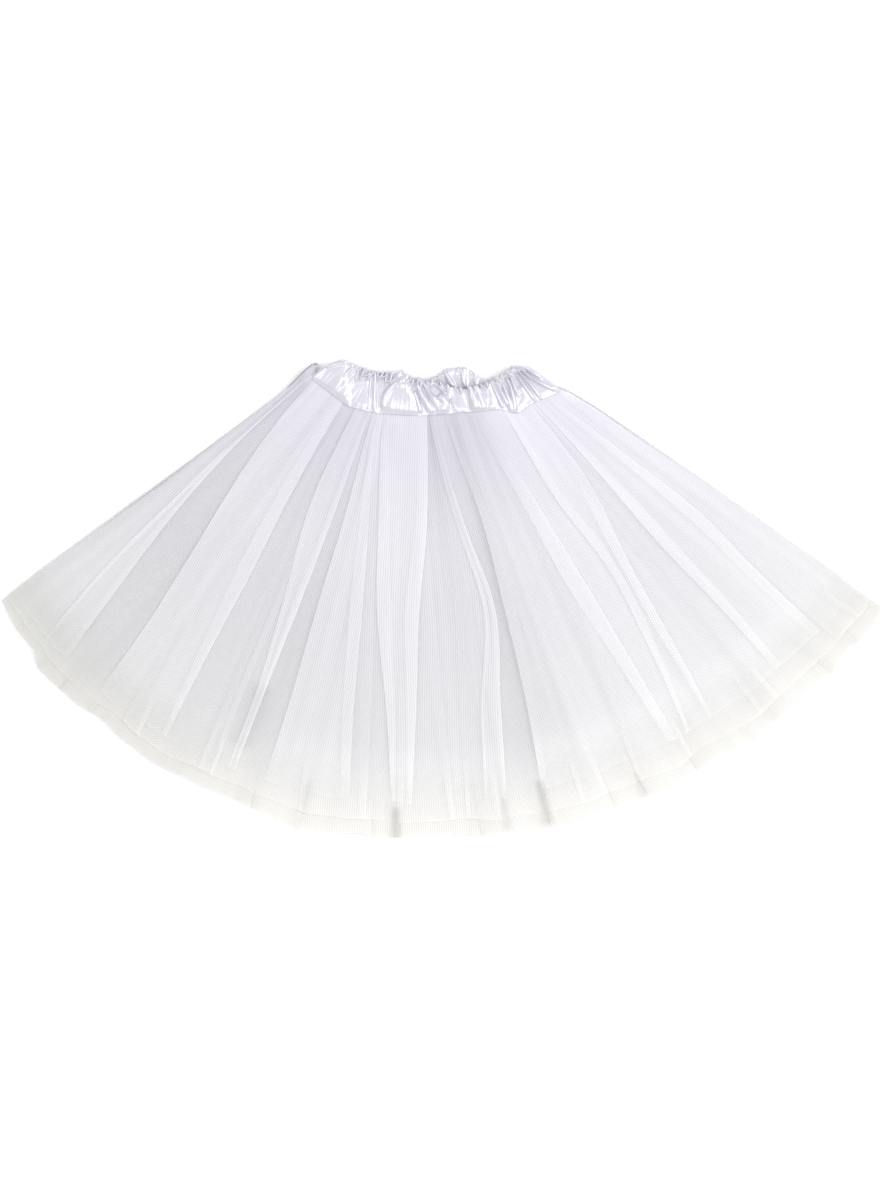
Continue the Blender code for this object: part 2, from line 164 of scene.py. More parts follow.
MIDDLE_FRONT = (
    (-1, (-47.0, -44.0, -40.6, -35.6, -34.3), (4, 12.5, 4.5)),
    (1, (-38.0, -37.0, -36.0, -33.2, -31.8), (4, 12.5, 4.5)),
    (-1, (-30.0, -28.6, -26.0, -25.2, -24.6), (4, 10.5, 4)),
    (1, (-24.4, -24.0, -23.4, -23.2, -22.8), (4, 10.5, 3)),
    (-1, (-17.6, -16.0, -15.2, -14.2, -12.9), (4, 13.5, 4.5)),
    (1, (-12.0, -10.0, -7.6, -6.2, -5.6), (4, 13.5, 6)),
    (-1, (-4.0, -3.5, -3.0, -2.6, -2.3), (4, 12.5, 4.5)),
    (1, (1.5, 2.2, 3.0, 3.6, 4.0), (4, 12.5, 4.5)),
    (-1, (5.0, 6.4, 6.4, 5.6, 5.2), (4, 9.5, 3.5)),
    (1, (8.2, 9.8, 9.6, 9.2, 9.0), (4, 10.5, 4.5)),
    (-1, (16.5, 17.2, 17.0, 17.4, 17.6), (4, 10.5, 4)),
    (1, (20.4, 20.4, 20.2, 20.4, 20.6), (4, 12.5, 4.5)),
    (-1, (28.0, 29.0, 26.8, 24.8, 24.0), (4, 10.5, 4.5)),
    (1, (31.6, 31.9, 31.6, 30.8, 30.4), (4, 13.5, 4.5)),
    (-1, (38.0, 39.5, 39.4, 39.0, 38.6), (4, 10.5, 4.5)),
    (1, (41.5, 42.6, 41.9, 41.6, 41.4), (4, 10.5, 4.5)),
    (-1, (46.6, 49.0, 51.0, 50.4, 50.0), (4, 9.5, 4)),
    (1, (50.0, 52.2, 52.8, 53.6, 54.0), (4, 9.5, 4.5)),
)
MIDDLE_BACK = (
    (-1, (-40.0, -38.6, -37.6, -36.8, -36.0), (5.5, 18.5, 7)),
    (1, (-31.0, -30.0, -29.0, -28.4, -28.0), (5.5, 18.5, 7)),
    (-1, (-14.0, -15.0, -16.0, -16.8, -17.4), (5.5, 18.5, 7)),
    (1, (-6.0, -7.6, -9.0, -10.0, -10.6), (5.5, 18.5, 7)),
    (-1, (14.0, 14.8, 15.6, 16.2, 16.8), (5.5, 18.5, 7)),
    (1, (20.0, 21.6, 22.6, 23.4, 24.0), (5.5, 18.5, 7)),
    (-1, (36.0, 37.6, 38.6, 39.4, 40.0), (5.5, 18.5, 7)),
    (1, (43.0, 44.6, 45.8, 46.6, 47.2), (5.5, 18.5, 7)),
)
INNER_FRONT = (
    (-1, (-44.0, -43.4, -42.8, -42.2, -41.8), (5.5, 12.5, 4.5)),
    (1, (-40.0, -39.0, -38.4, -37.8, -37.4), (5.5, 12.5, 6)),
    (-1, (-24.0, -22.0, -20.0, -18.6, -17.8), (5.5, 16.5, 6)),
    (1, (-15.0, -14.4, -13.6, -12.9, -12.4), (5.5, 16.5, 6)),
    (-1, (-6.0, -5.6, -5.2, -5.0, -4.8), (4, 11.5, 4)),
    (1, (-3.0, -2.8, -2.5, -2.2, -2.0), (4, 11.5, 4.5)),
    (-1, (4.0, 4.8, 5.6, 6.2, 6.6), (5.5, 14, 5)),
    (1, (9.0, 11.0, 12.4, 13.2, 13.8), (5.5, 14, 6)),
    (-1, (17.0, 18.4, 19.4, 20.2, 20.8), (5.5, 12.5, 4.5)),
    (1, (21.0, 22.2, 23.2, 23.8, 24.2), (5.5, 12.5, 4.5)),
    (-1, (27.0, 28.0, 28.8, 29.4, 30.0), (5.5, 16.5, 6)),
    (1, (33.0, 34.2, 35.4, 36.4, 37.0), (5.5, 16.5, 6)),
    (-1, (40.0, 42.4, 44.6, 46.2, 47.0), (5.5, 14, 6)),
    (1, (46.0, 48.0, 49.6, 51.0, 51.8), (5.5, 14, 6)),
)
INNER_BACK = (
    (-1, (-47.0, -46.4, -46.0, -45.6, -45.4), (5.5, 16.5, 6)),
    (1, (-38.0, -37.0, -36.4, -36.0, -35.6), (5.5, 16.5, 6)),
    (-1, (-22.0, -23.6, -24.8, -25.8, -26.6), (5.5, 19.5, 7)),
    (1, (-12.0, -14.6, -16.4, -18.0, -19.0), (5.5, 19.5, 7)),
    (-1, (8.0, 7.0, 6.2, 5.6, 5.0), (5.5, 19.5, 7)),
    (1, (16.0, 15.0, 14.2, 13.6, 13.0), (5.5, 19.5, 7)),
    (-1, (28.0, 29.0, 29.8, 30.6, 31.2), (5.5, 16.5, 6)),
    (1, (34.0, 36.0, 37.6, 39.0, 40.0), (5.5, 16.5, 6)),
)

# Soft gathers under the pleats: crest at waist, crest at hem, share of the height
SOFT_GATHERS = np.array((
    (-44.0, -46.5, 0.8), (-36.5, -39.5, 1.0), (-29.5, -31.0, 0.7),
    (-21.5, -25.0, 1.0), (-14.0, -16.0, 0.8), (-6.5, -6.0, 1.0),
    (1.5, 3.0, 0.6), (9.0, 11.0, 1.0), (16.5, 18.5, 0.8),
    (24.5, 27.0, 1.0), (32.0, 34.5, 0.7), (39.0, 41.5, 1.0), (46.0, 48.5, 0.8),
))

# How closely each valley and panel of the outer front is gathered, left to right:
# at the waist and at the hem, then the painted shade that darkens its colour
# beside its neighbours
FRONT_FULLNESS_AND_SHADE = np.array((
    (0.9, 0.9, 0.00), (1.0, 1.0, 0.00), (0.7, 0.6, 0.10), (1.0, 1.0, 0.00),
    (0.75, 0.85, 0.05), (0.95, 1.1, 0.00), (1.0, 0.5, 0.10), (0.95, 0.95, 0.00),
    (1.25, 0.65, 0.03), (1.25, 1.2, 0.00), (0.7, 0.8, 0.00), (0.8, 1.1, 0.00),
    (0.95, 0.45, 0.07), (0.9, 1.2, 0.00), (1.15, 1.3, 0.00), (1.3, 1.4, 0.03),
    (1.1, 1.25, 0.00), (1.2, 1.3, 0.00), (1.2, 1.1, 0.00),
))
# Painted shade that darkens the net's colour by angle, and painted light where a
# share is negative: angle, share at the waist, midway and at the hem
PAINTED_SHADE_TABLE = np.array((
    (-53.3, 0.06, 0.00, 0.08), (-50.6, 0.09, 0.00, 0.10), (-48.5, -0.01, 0.00, 0.11),
    (-45.0, 0.00, 0.01, 0.10), (-36.0, 0.01, 0.00, 0.05), (-27.0, 0.06, 0.01, 0.01),
    (-20.0, 0.04, 0.00, -0.04), (-12.0, 0.03, 0.00, -0.08), (0.0, 0.05, 0.00, -0.08),
    (8.0, 0.10, 0.00, -0.07), (13.0, 0.13, 0.01, -0.08), (14.5, 0.14, 0.05, -0.08),
    (17.0, 0.12, 0.05, -0.09), (21.0, 0.11, 0.00, -0.08), (27.0, 0.06, 0.00, -0.06),
    (33.0, -0.04, -0.03, -0.05), (39.0, -0.01, 0.01, -0.05), (46.0, 0.00, 0.00, -0.04),
    (51.0, 0.00, -0.02, 0.00), (55.7, 0.00, -0.01, 0.05),
))


def table_at(table, angle, column):
    """A table's column at one or more angles."""
    return np.interp(angle, table[:, 0], table[:, column])


def smooth(value):
    """Ease from 0 to 1."""
    value = np.clip(value, 0.0, 1.0)
    return value * value * (3 - 2 * value)


def place(angle, radius, height):
    """Points of the fan as an array of x, y, z."""
    turn = np.radians(angle)
    return np.stack((POLE[0] + radius * np.sin(turn),
                     POLE[1] - radius * np.cos(turn),
                     np.broadcast_to(height, np.shape(angle))), axis=-1)


def along_stations(values, share):
    """Smooth value of a fold row's station list at a share of the length."""
    values = np.asarray(values, float)
    slopes = np.gradient(values, STATIONS)
    spot = min(max(share, 0.0), 1.0) * (len(STATIONS) - 1)
    index = min(int(spot), len(STATIONS) - 2)
    part = spot - index
    step = STATIONS[index + 1] - STATIONS[index]
    square, cube = part * part, part ** 3
    return ((2 * cube - 3 * square + 1) * values[index]
            + (cube - 2 * square + part) * step * slopes[index]
            + (3 * square - 2 * cube) * values[index + 1]
            + (cube - square) * step * slopes[index + 1])


# --------------------------------------------------------------- net layers

class NetRow:
    """One row across a net layer at a share of its length from the seam."""

    def __init__(self, layer, share):
        self.layer = layer
        self.share = share
        seam = float(table_at(WAIST_LINE, 0.0, 1)) - SEAM_INSIDE
        hem = float(table_at(HEM_LINE, 0.0, 1 + layer))
        self.below_band = share * (hem - seam) - SEAM_INSIDE
        self.length_share = self.below_band / (hem - seam - SEAM_INSIDE)
        span = SPREAD_END - SPREAD_START
        self.spread = float(smooth((self.below_band - SPREAD_START) / span))
        inset = math.degrees(PITCH * layer / self.radius(0.0))
        self.left = float(table_at(SIDE_LINE, self.below_band, 1)) + inset
        self.right = float(table_at(SIDE_LINE, self.below_band, 2)) - inset

    def radius(self, angle):
        """Distance of the row from the pole."""
        lower = table_at(WAIST_LINE, angle, 1)
        hem = table_at(HEM_LINE, angle, 1 + self.layer)
        seam = lower - SEAM_INSIDE
        return seam + self.share * (hem - seam)

    def squeezed(self, angle):
        """Fold angles, of which the band draws in the outermost."""
        keys = (LEFT_EDGE, -44.0, 46.0, RIGHT_EDGE)
        return np.interp(angle, keys, (self.left + 0.5, -44.0, 46.0, self.right - 0.5))

    def height(self, ply, angle):
        """Middle height of a ply: 0 is the outer layer's back, 5 its front."""
        step = ply + 1 if ply < 3 else ply + 3
        held = BAND_SWELL + HALF + step * PITCH
        radius = self.radius(angle)
        inset = np.minimum(angle - self.left, self.right - angle)
        lift = smooth(np.radians(inset) * radius / SIDE_RISE)
        free = HALF + ply * PITCH + lift * 2 * PITCH
        if ply == 5:
            free = free + lift * GATHER_SWELL
        elif ply > 0:
            free = free + lift * GATHER_SWELL * self.soft_wave(angle)
        return held + (free - held) * self.spread

    def soft_wave(self, angle):
        """Height, 0 to 1, of the soft gathers that the inner layers share."""
        share = min(max(self.length_share, 0.0), 1.0)
        crests = SOFT_GATHERS[:, 0] + share * (SOFT_GATHERS[:, 1] - SOFT_GATHERS[:, 0])
        valleys = (crests[1:] + crests[:-1]) / 2
        keys = np.concatenate(([self.left], np.sort(np.concatenate((crests, valleys))),
                               [self.right]))
        values = np.zeros(len(keys))
        values[1::2] = SOFT_GATHERS[:, 2]
        spot = np.interp(angle, keys, np.arange(len(keys)))
        index = np.clip(spot.astype(int), 0, len(keys) - 2)
        part = smooth(spot - index)
        return values[index] + part * (values[index + 1] - values[index])


def fold_profile(tuck, rise, side, steps=5):
    """Section of one pleat edge from left to right, as offsets and heights."""
    bend = rise / 4
    turn = np.linspace(0, math.pi, steps)
    upper_x = -bend + bend * np.sin(turn)
    upper_z = rise - bend + bend * np.cos(turn)
    lower_x = -tuck + bend - bend * np.sin(turn)
    lower_z = bend + bend * np.cos(turn)
    middle_x = np.linspace(-bend, -tuck + bend, 4)[1:-1]
    middle_z = np.full(2, rise / 2)
    x = np.concatenate((upper_x, middle_x, lower_x))
    z = np.concatenate((upper_z, middle_z, lower_z))
    if side < 0:
        return -x[::-1], z[::-1]
    return x, z


# painted shade of small tucks at the hem, whose folds are not modelled: angle,
# half width in degrees, from and to in metres, painted shade
HEM_TUCK_SHADE = (
    (-21.3, 1.60, 0.372, 0.432, 0.08),
    (-12.4, 0.35, 0.440, 0.470, 0.10),
    (-2.4, 0.50, 0.452, 0.486, 0.24),
    (9.4, 0.35, 0.448, 0.484, 0.12),
    (13.7, 0.45, 0.442, 0.486, 0.24),
    (24.0, 0.30, 0.464, 0.490, 0.16),
)

PROFILE_POINTS = 12          # points across one pleat edge
HEM_RADIUS = 0.46            # mean distance of the hems from the pole
TUCK_LIMIT = 0.42            # most of a panel's width that one tuck may take
CORNER_SHIFT = (0.0020, 0.0090, 0.0)    # of the net beside the band's left end
CROWN = 0.0005               # how far a panel rounds up between its edges
FLOOR_GAP = 0.0002           # the lowest net lies this far above the surface
HEM_FULLNESS = (0.2, 0.8, 2.4)    # how closely each layer is gathered at its hem
HEM_START, HEM_EASE = 0.89, 0.10  # share of the length where that sets in, and over which
CORNER_DENSITY = 60          # the standing corner looks denser, per metre of lift, and painted shade darkens it
CORNER_SHADE = 14             # and greyer
BEND_THINNING = 0.72         # share of a tight bend's cloth that the bend hides
SIDE_SHADE = 0.03             # painted shade that darkens the side folds
SIDE_PAINTED_LIGHT = 0.15            # painted light that lightens them at the right, toward the waist


def ply_row(row, ply, folds, fold_rise, flat_counts):
    """One half of a layer in one row: angles, heights, panel numbers, tucked cloth."""
    edges = []
    share = row.length_share
    for side, angles, tucks in folds:
        angle = float(row.squeezed(along_stations(angles, share)))
        tuck = np.interp(share, (0.0, 0.5, 1.0), tucks) / 1000
        edges.append([side, angle, tuck])
    for first, second in zip(edges[::2], edges[1::2]):
        width = math.radians(second[1] - first[1]) * float(row.radius(first[1]))
        for edge in (first, second):
            edge[2] = min(edge[2], TUCK_LIMIT * width)
    rise = fold_rise * (0.3 + 0.7 * row.spread)
    angles, heights, panel, bends = [], [], [], []
    begin, level = row.left, 0.0
    for number, (side, angle, tuck) in enumerate(edges + [(0, row.right, 0.0)]):
        radius = float(row.radius(angle))
        x, z = fold_profile(max(tuck, rise * 0.6), rise, side)
        spots = angle + np.degrees(x / radius) if side else np.array([row.right])
        between = np.linspace(begin, spots[0], flat_counts[number] + 2)[1:-1]
        angles.append(between)
        crown = np.sin(np.linspace(0, math.pi, len(between) + 2)[1:-1])
        crown = crown * (CROWN if level else -CROWN / 3) * row.spread
        heights.append(level + crown)
        panel.append(np.full(len(between), number))
        bends.append(np.zeros(len(between)))
        if side:
            angles.append(spots)
            heights.append(z)
            half = PROFILE_POINTS // 2
            panel.append(np.concatenate((np.full(half, number), np.full(half, number + 1))))
            bends.append(np.array((0, *[1] * (PROFILE_POINTS - 2), 0)))
            begin, level = spots[-1], rise if side < 0 else 0.0
    angles, heights = np.concatenate(angles), np.concatenate(heights)
    toward = 1.0 if ply > 2 else -1.0
    base = row.height(ply, angles)
    return (angles, base + toward * heights, np.concatenate(panel).astype(int),
            np.concatenate(bends))


def flat_point_counts(folds, spacing=0.0042):
    """Points between neighbouring pleat edges, from the cloth between them at the hem."""
    spots = [LEFT_EDGE] + [angles[-1] for side, angles, tucks in folds] + [RIGHT_EDGE]
    tucked = [0.0] + [tucks[-1] / 1000 for side, angles, tucks in folds] + [0.0]
    widths = np.radians(np.diff(spots)) * HEM_RADIUS
    counts = []
    for number, width in enumerate(widths):
        hidden = 0.0 if number % 2 else tucked[number] + tucked[number + 1]
        counts.append(max(3, int((width + hidden) / spacing)))
    return counts


def side_row(row, layer, side, steps=7):
    """Rounded side fold from the front ply to the back ply."""
    edge = row.left if side < 0 else row.right
    top = float(row.height(5 - layer, np.array([edge]))[0])
    bottom = float(row.height(layer, np.array([edge]))[0])
    turn = np.linspace(0, math.pi, steps)
    reach = (top - bottom) / 2
    bulge = math.degrees(min(reach, 0.0022) / float(row.radius(edge)))
    angles = edge - side * bulge * (1 - np.sin(turn))
    heights = (top + bottom) / 2 + reach * np.cos(turn)
    return angles, heights


def net_ripple(angle, below_band, seed):
    """Fine gathers just below the band and a slow waviness, in metres."""
    fade = np.exp(-np.maximum(below_band, 0.0) / 0.055)
    turn = np.radians(angle)
    wave = (np.sin(turn * 131 + seed) + 0.7 * np.sin(turn * 187 + 2.1 * seed)
            + 0.6 * np.sin(turn * 83 + 0.7 * seed))
    slow = (np.sin(turn * 23 + seed) * np.sin(below_band * 14 + seed)
            + 0.8 * np.sin(turn * 41 + 1.7 * seed + below_band * 9))
    held = smooth(below_band / 0.004)
    return held * (0.00012 * fade * wave + 0.00020 * slow)


def gather_runs(angle, share, seed):
    """Soft runs of closer and looser gathers down the skirt, from -1 to 1."""
    total = 0.0
    for period, weight in ((1.9, 0.18), (3.1, 0.28), (5.3, 0.36), (8.7, 0.36)):
        drift = 1.3 * math.sin(2.1 * share + period + seed)
        phase = 360 * angle / period
        total = total + weight * np.sin(np.radians(phase) + drift + seed * period)
    return total


def panel_fullness_and_shade(panel, share):
    """Fullness and painted shade of the outer front at each point, eased between panels."""
    waist, hem, painted_shade = FRONT_FULLNESS_AND_SHADE.T
    for values in (waist + (hem - waist) * smooth(share), painted_shade * smooth(share / 0.4)):
        padded = np.pad(values[panel], 4, mode="edge")
        yield np.convolve(padded, np.ones(9) / 9, mode="valid")


def painted_shade_by_angle(angle, share):
    """Share of painted shade that darkens the net's colour; negative is painted light."""
    waist, hem = 1 - smooth(share / 0.35), smooth((share - 0.80) / 0.18)
    return (table_at(PAINTED_SHADE_TABLE, angle, 1) * waist + table_at(PAINTED_SHADE_TABLE, angle, 3) * hem
            + table_at(PAINTED_SHADE_TABLE, angle, 2) * (1 - waist) * (1 - hem))


def tuck_shade(angle, radius):
    """Share of painted shade that darkens the small tucks at the hem, several plies thick."""
    total = 0.0
    for spot, wide, near, far, painted_shade in HEM_TUCK_SHADE:
        across = smooth(1.5 - np.abs(angle - spot) / wide)
        along = smooth((radius - near) / 0.004) * smooth((far - radius) / 0.004)
        total = total + painted_shade * across * along
    return total


def hem_wander(angle, seed):
    """How far the cut edge strays from an even line, in metres."""
    turn = np.radians(angle)
    return 0.0009 * np.sin(turn * 37 + seed) + 0.0006 * np.sin(turn * 71 + 2 * seed)


def corner_lift(angle, below_band):
    """Shift of the loose net that stands up beside the band's left end."""
    near = smooth((-47.5 - angle) / 2.5) * (1 - smooth((below_band + 0.006) / 0.040))
    return near[..., None] * np.array(CORNER_SHIFT)


def all_round(front, right, back, left):
    """Values of a row's four stretches in one run round the tube."""
    return np.concatenate((front, right, back[::-1], left[::-1]))


def row_fullness_and_shade(row, angles, radius, front_panel, turned, tucked, lift, settings):
    """How closely a row's net is gathered and how much painted shade darkens it at each point."""
    fullness = np.ones(len(angles))
    # painted shade for the net's colour, by angle and at the hem tucks
    painted_shade = painted_shade_by_angle(angles, row.share) + tuck_shade(angles, radius)
    if row.layer == 0:
        front = slice(len(front_panel))
        # the outer front's panels and valleys carry their own painted shade
        fullness[front], panel_shade = panel_fullness_and_shade(front_panel, row.share)
        painted_shade[front] += panel_shade
    fullness *= 1 + settings.streaks * gather_runs(turned, row.share, 3.0 * row.layer)
    hemward = smooth((row.share - HEM_START) / HEM_EASE)
    fullness *= 1 + (HEM_FULLNESS[row.layer] - 1) * hemward
    fullness *= (1 + CORNER_DENSITY * lift) * (1 - BEND_THINNING * tucked)
    fullness *= 0.4 + 0.6 * smooth(row.share / 0.025)    # thinner up inside the casing
    inset = np.minimum(angles - row.left, row.right - angles)
    # painted shade on the standing corner and along the side folds, with painted light at the
    # right toward the waist
    painted_light = SIDE_PAINTED_LIGHT * (1 - smooth(row.share / 0.4)) * (angles > 0)
    painted_shade += CORNER_SHADE * lift + (SIDE_SHADE - painted_light) * smooth(1 - inset / 2)
    return fullness, painted_shade


def net_layer(name, layer, front_folds, back_folds, fold_rise, settings):
    """Build one net layer as a tube of thin cloth, pleated and gathered."""
    # closer rows at the waist, where the pleats open out
    shares = np.concatenate((np.linspace(0, 0.14, 12, endpoint=False),
                             np.linspace(0.14, 1, settings.rows)))
    counts = [flat_point_counts(folds) for folds in (front_folds, back_folds)]
    points, flat_u, gathers, painted_shades = [], [], [], []
    for share in shares:
        row = NetRow(layer, float(share))
        front = ply_row(row, 5 - layer, front_folds, fold_rise, counts[0])
        back = ply_row(row, layer, back_folds, fold_rise, counts[1])
        right, left = side_row(row, layer, 1), side_row(row, layer, -1)
        turn = np.ones(len(right[0]))
        angles = all_round(front[0], right[0], back[0], left[0])
        heights = all_round(front[1], right[1], back[1], left[1])
        heights = heights + net_ripple(angles, row.below_band, 1.0 + layer)
        radius = row.radius(angles) + share ** 4 * hem_wander(angles, 1.0 + layer)
        spot = place(angles, radius, np.maximum(heights, FLOOR_GAP * (1 + layer)))
        # only the outer layer's loose corner stands up, behind and beside the band
        behind = all_round(front[0] * 0, turn * 0, back[0] * 0 + 1, turn)
        loose = np.maximum(behind, smooth(BAND_LEFT - angles)) * (layer == 0)
        lifted = corner_lift(angles, row.below_band) * loose[:, None]
        spot = spot + lifted
        last, behind_last = front[2].max(), back[2].max()
        panel = all_round(front[2], turn * last, last + behind_last - back[2],
                          turn * (last + behind_last))
        edgeward = 0.1 + 0.8 * (1 - smooth(row.length_share / 0.6))
        tucked = all_round(front[3], turn * edgeward, back[3], turn * edgeward)
        turned = all_round(front[0], turn * RIGHT_EDGE, 2 * RIGHT_EDGE - back[0],
                           turn * LEFT_EDGE)
        fullness, painted_shade = row_fullness_and_shade(row, angles, radius, front[2], turned, tucked,
                                   lifted[:, 1], settings)
        step = np.linalg.norm(np.roll(spot, -1, axis=0) - spot, axis=1)
        points.append(spot)
        flat_u.append(np.concatenate(([0.0], np.cumsum(step))))
        gathers.append(max(settings.net_width / step.sum(), 1.0) * fullness)
        painted_shades.append(painted_shade)
        if share == 0:
            panels = panel
    # the painted shade goes out as a point attribute that darkens the net's colour
    looks = {"gather": np.array(gathers), "painted_shade": np.array(painted_shades),
             "down": np.repeat(shares[:, None], len(panels), axis=1)}
    mesh = net_mesh(name, np.array(points), np.array(flat_u), panels, looks)
    return link_object(name, mesh)


def link_object(name, data):
    """A new object in the scene from its mesh, lamp or camera."""
    thing = bpy.data.objects.new(name, data)
    bpy.context.scene.collection.objects.link(thing)
    return thing


def tube_mesh(name, points):
    """Smooth mesh of a tube from rows of points, its faces outward."""
    rows, columns = points.shape[:2]
    index = np.arange(rows * columns).reshape(rows, columns)
    following = np.roll(index, -1, axis=1)
    quads = np.stack((index[:-1], following[:-1], following[1:], index[1:]), axis=-1)
    mesh = bpy.data.meshes.new(name)
    mesh.from_pydata(points.reshape(-1, 3).tolist(), [], quads.reshape(-1, 4).tolist())
    mesh.polygons.foreach_set("use_smooth", np.ones(len(mesh.polygons), bool))
    mesh.update()
    return mesh


def corners(left, right):
    """Values of each face's four corners from those at its left and right columns."""
    return np.stack((left[:-1], right[:-1], right[1:], left[1:]), axis=-1)


def net_mesh(name, points, flat_u, panels, looks):
    """A net layer's mesh, with threads that run along each panel."""
    mesh = tube_mesh(name, points)
    down = np.linalg.norm(np.diff(points, axis=0), axis=2)
    length = np.concatenate((np.zeros((1, len(panels))), np.cumsum(down, axis=0)))
    centre = np.zeros_like(flat_u[:, :-1])
    for panel in np.unique(panels):
        members = np.flatnonzero(panels == panel)
        centre[:, members] = flat_u[:, members].mean(axis=1)[:, None]
    u = corners(flat_u[:, :-1] - centre, flat_u[:, 1:] - centre)
    v = corners(length, np.roll(length, -1, axis=1))
    threads = mesh.uv_layers.new(name="threads")
    threads.uv.foreach_set("vector", np.stack((u, v), axis=-1).ravel())
    for label, values in looks.items():
        attribute = mesh.attributes.new(label, "FLOAT", "POINT")
        attribute.data.foreach_set("value", values.ravel())
    return mesh


# ---------------------------------------------------------------- materials

SHADED_TONE_STOPS = (0.38, 0.86)    # shares of the length between the net's waist and hem tones, painted shade included


def dyed(code, dye=(1.0, 1.0, 1.0)):
    """Linear colour with alpha from an sRGB hex code, tinted by a dye."""
    parts = [int(code[i:i + 2], 16) / 255 for i in (1, 3, 5)]
    parts = [p / 12.92 if p <= 0.04045 else ((p + 0.055) / 1.055) ** 2.4 for p in parts]
    return (*(part * tint for part, tint in zip(parts, dye)), 1.0)


def add(tree, kind, inputs=None, **settings):
    """Add a node with its settings; each input is a value, or a socket or node to link."""
    made = tree.nodes.new(kind)
    for name, value in settings.items():
        setattr(made, name, value)
    for key, value in (inputs or {}).items():
        if isinstance(value, bpy.types.Node):
            value = value.outputs[0]
        if isinstance(value, bpy.types.NodeSocket):
            tree.links.new(value, made.inputs[key])
        else:
            made.inputs[key].default_value = value
    return made


def fresh_material(name):
    """Empty node material and its tree."""
    material = bpy.data.materials.new(name)
    material.use_nodes = True
    material.node_tree.nodes.clear()
    return material, material.node_tree


def thread_pattern(tree, settings):
    """Rise and fall of the net's threads over its flat cloth, in three directions."""
    uv = add(tree, "ShaderNodeUVMap", uv_map="threads")
    flat = add(tree, "ShaderNodeSeparateXYZ", {0: uv})
    pitch = settings.mesh_mm / 1000
    total = 0.0
    for across, along, share in ((1.0, 0.0, 0.5), (0.5, 0.866, 0.25), (-0.5, 0.866, 0.25)):
        first = add(tree, "ShaderNodeMath", {0: flat.outputs[0], 1: 2 * math.pi * across / pitch},
                    operation="MULTIPLY")
        second = add(tree, "ShaderNodeMath", {0: flat.outputs[1], 1: 2 * math.pi * along / pitch},
                     operation="MULTIPLY")
        turn = add(tree, "ShaderNodeMath", {0: first, 1: second}, operation="ADD")
        wave = add(tree, "ShaderNodeMath", {0: turn}, operation="SINE")
        total = add(tree, "ShaderNodeMath", {0: wave, 1: share * settings.mesh_contrast, 2: total},
                    operation="MULTIPLY_ADD")
    return total


def soft_nylon_tulle(name, settings, colours):
    """Knitted nylon net: fine threads with open meshes, matt with a faint sheen.

    The real mesh is about 1.2 mm; it is drawn coarser so that its threads still
    show from above. Gathers too fine for the mesh make the net denser to the eye.
    Its colour holds painted shade: greyer at the waist, in its valleys and tucks,
    and lighter toward the open hem.
    """
    material, tree = fresh_material(name)
    holes = add(tree, "ShaderNodeMath",
                {0: 1 - settings.cover, 1: thread_pattern(tree, settings)},
                operation="SUBTRACT")
    gather = add(tree, "ShaderNodeAttribute", attribute_name="gather")
    gaps = add(tree, "ShaderNodeMath", {0: holes, 1: gather.outputs["Fac"]},
               operation="POWER")
    cover = add(tree, "ShaderNodeMath", {0: 1.0, 1: gaps}, operation="SUBTRACT")
    down = add(tree, "ShaderNodeAttribute", attribute_name="down")
    # the ramp holds the net's own lavender white and painted shade: greyer at the waist, lighter
    # at the hem
    tint = add(tree, "ShaderNodeValToRGB", {0: down.outputs["Fac"]})
    for stop in SHADED_TONE_STOPS:
        tint.color_ramp.elements.new(stop)
    for stop, colour in zip(tint.color_ramp.elements, colours):
        stop.color = dyed(colour, settings.net_dye)
    # painted shade: the colour is scaled down by this share, and up where it is negative
    painted_shade = add(tree, "ShaderNodeAttribute", attribute_name="painted_shade")
    light = add(tree, "ShaderNodeMath", {0: 1.0, 1: painted_shade.outputs["Fac"]},
                operation="SUBTRACT")
    shade = add(tree, "ShaderNodeVectorMath", {0: tint, "Scale": light}, operation="SCALE")
    shader = add(tree, "ShaderNodeBsdfPrincipled",
                 {"Base Color": shade, "Alpha": cover, "Roughness": 0.65,
                  "Sheen Weight": 0.2, "Sheen Roughness": 0.4})
    add(tree, "ShaderNodeOutputMaterial", {"Surface": shader})
    return material


def polyester_satin(name, settings):
    """Woven satin: long floats give broad soft highlights along the folds.

    The yarns, about 0.1 mm in the real cloth, are drawn 0.5 mm apart so that they
    show, and the tone drifts in patches of about 11 mm. The floats glint more than
    polyester's own index of 1.6 gives, so it is raised.
    """
    material, tree = fresh_material(name)
    place_at = add(tree, "ShaderNodeTexCoord").outputs["Object"]
    weave = add(tree, "ShaderNodeTexNoise",
                {"Vector": place_at, "Scale": 2000.0, "Detail": 2.0})
    cloud = add(tree, "ShaderNodeTexNoise",
                {"Vector": place_at, "Scale": 90.0, "Detail": 2.0})
    shade = add(tree, "ShaderNodeMix",
                {0: cloud, 6: dyed("#B8B6C2", settings.satin_dye),
                 7: dyed("#C6C4CE", settings.satin_dye)}, data_type="RGBA")
    bump = add(tree, "ShaderNodeBump",
               {"Height": weave, "Strength": 0.05, "Distance": 0.0002})
    shader = add(tree, "ShaderNodeBsdfPrincipled",
                 {"Base Color": shade.outputs[2], "Normal": bump,
                  "Roughness": settings.satin_roughness, "IOR": 2.0,
                  "Specular IOR Level": 0.9, "Anisotropic": 0.3})
    add(tree, "ShaderNodeOutputMaterial", {"Surface": shader})
    return material


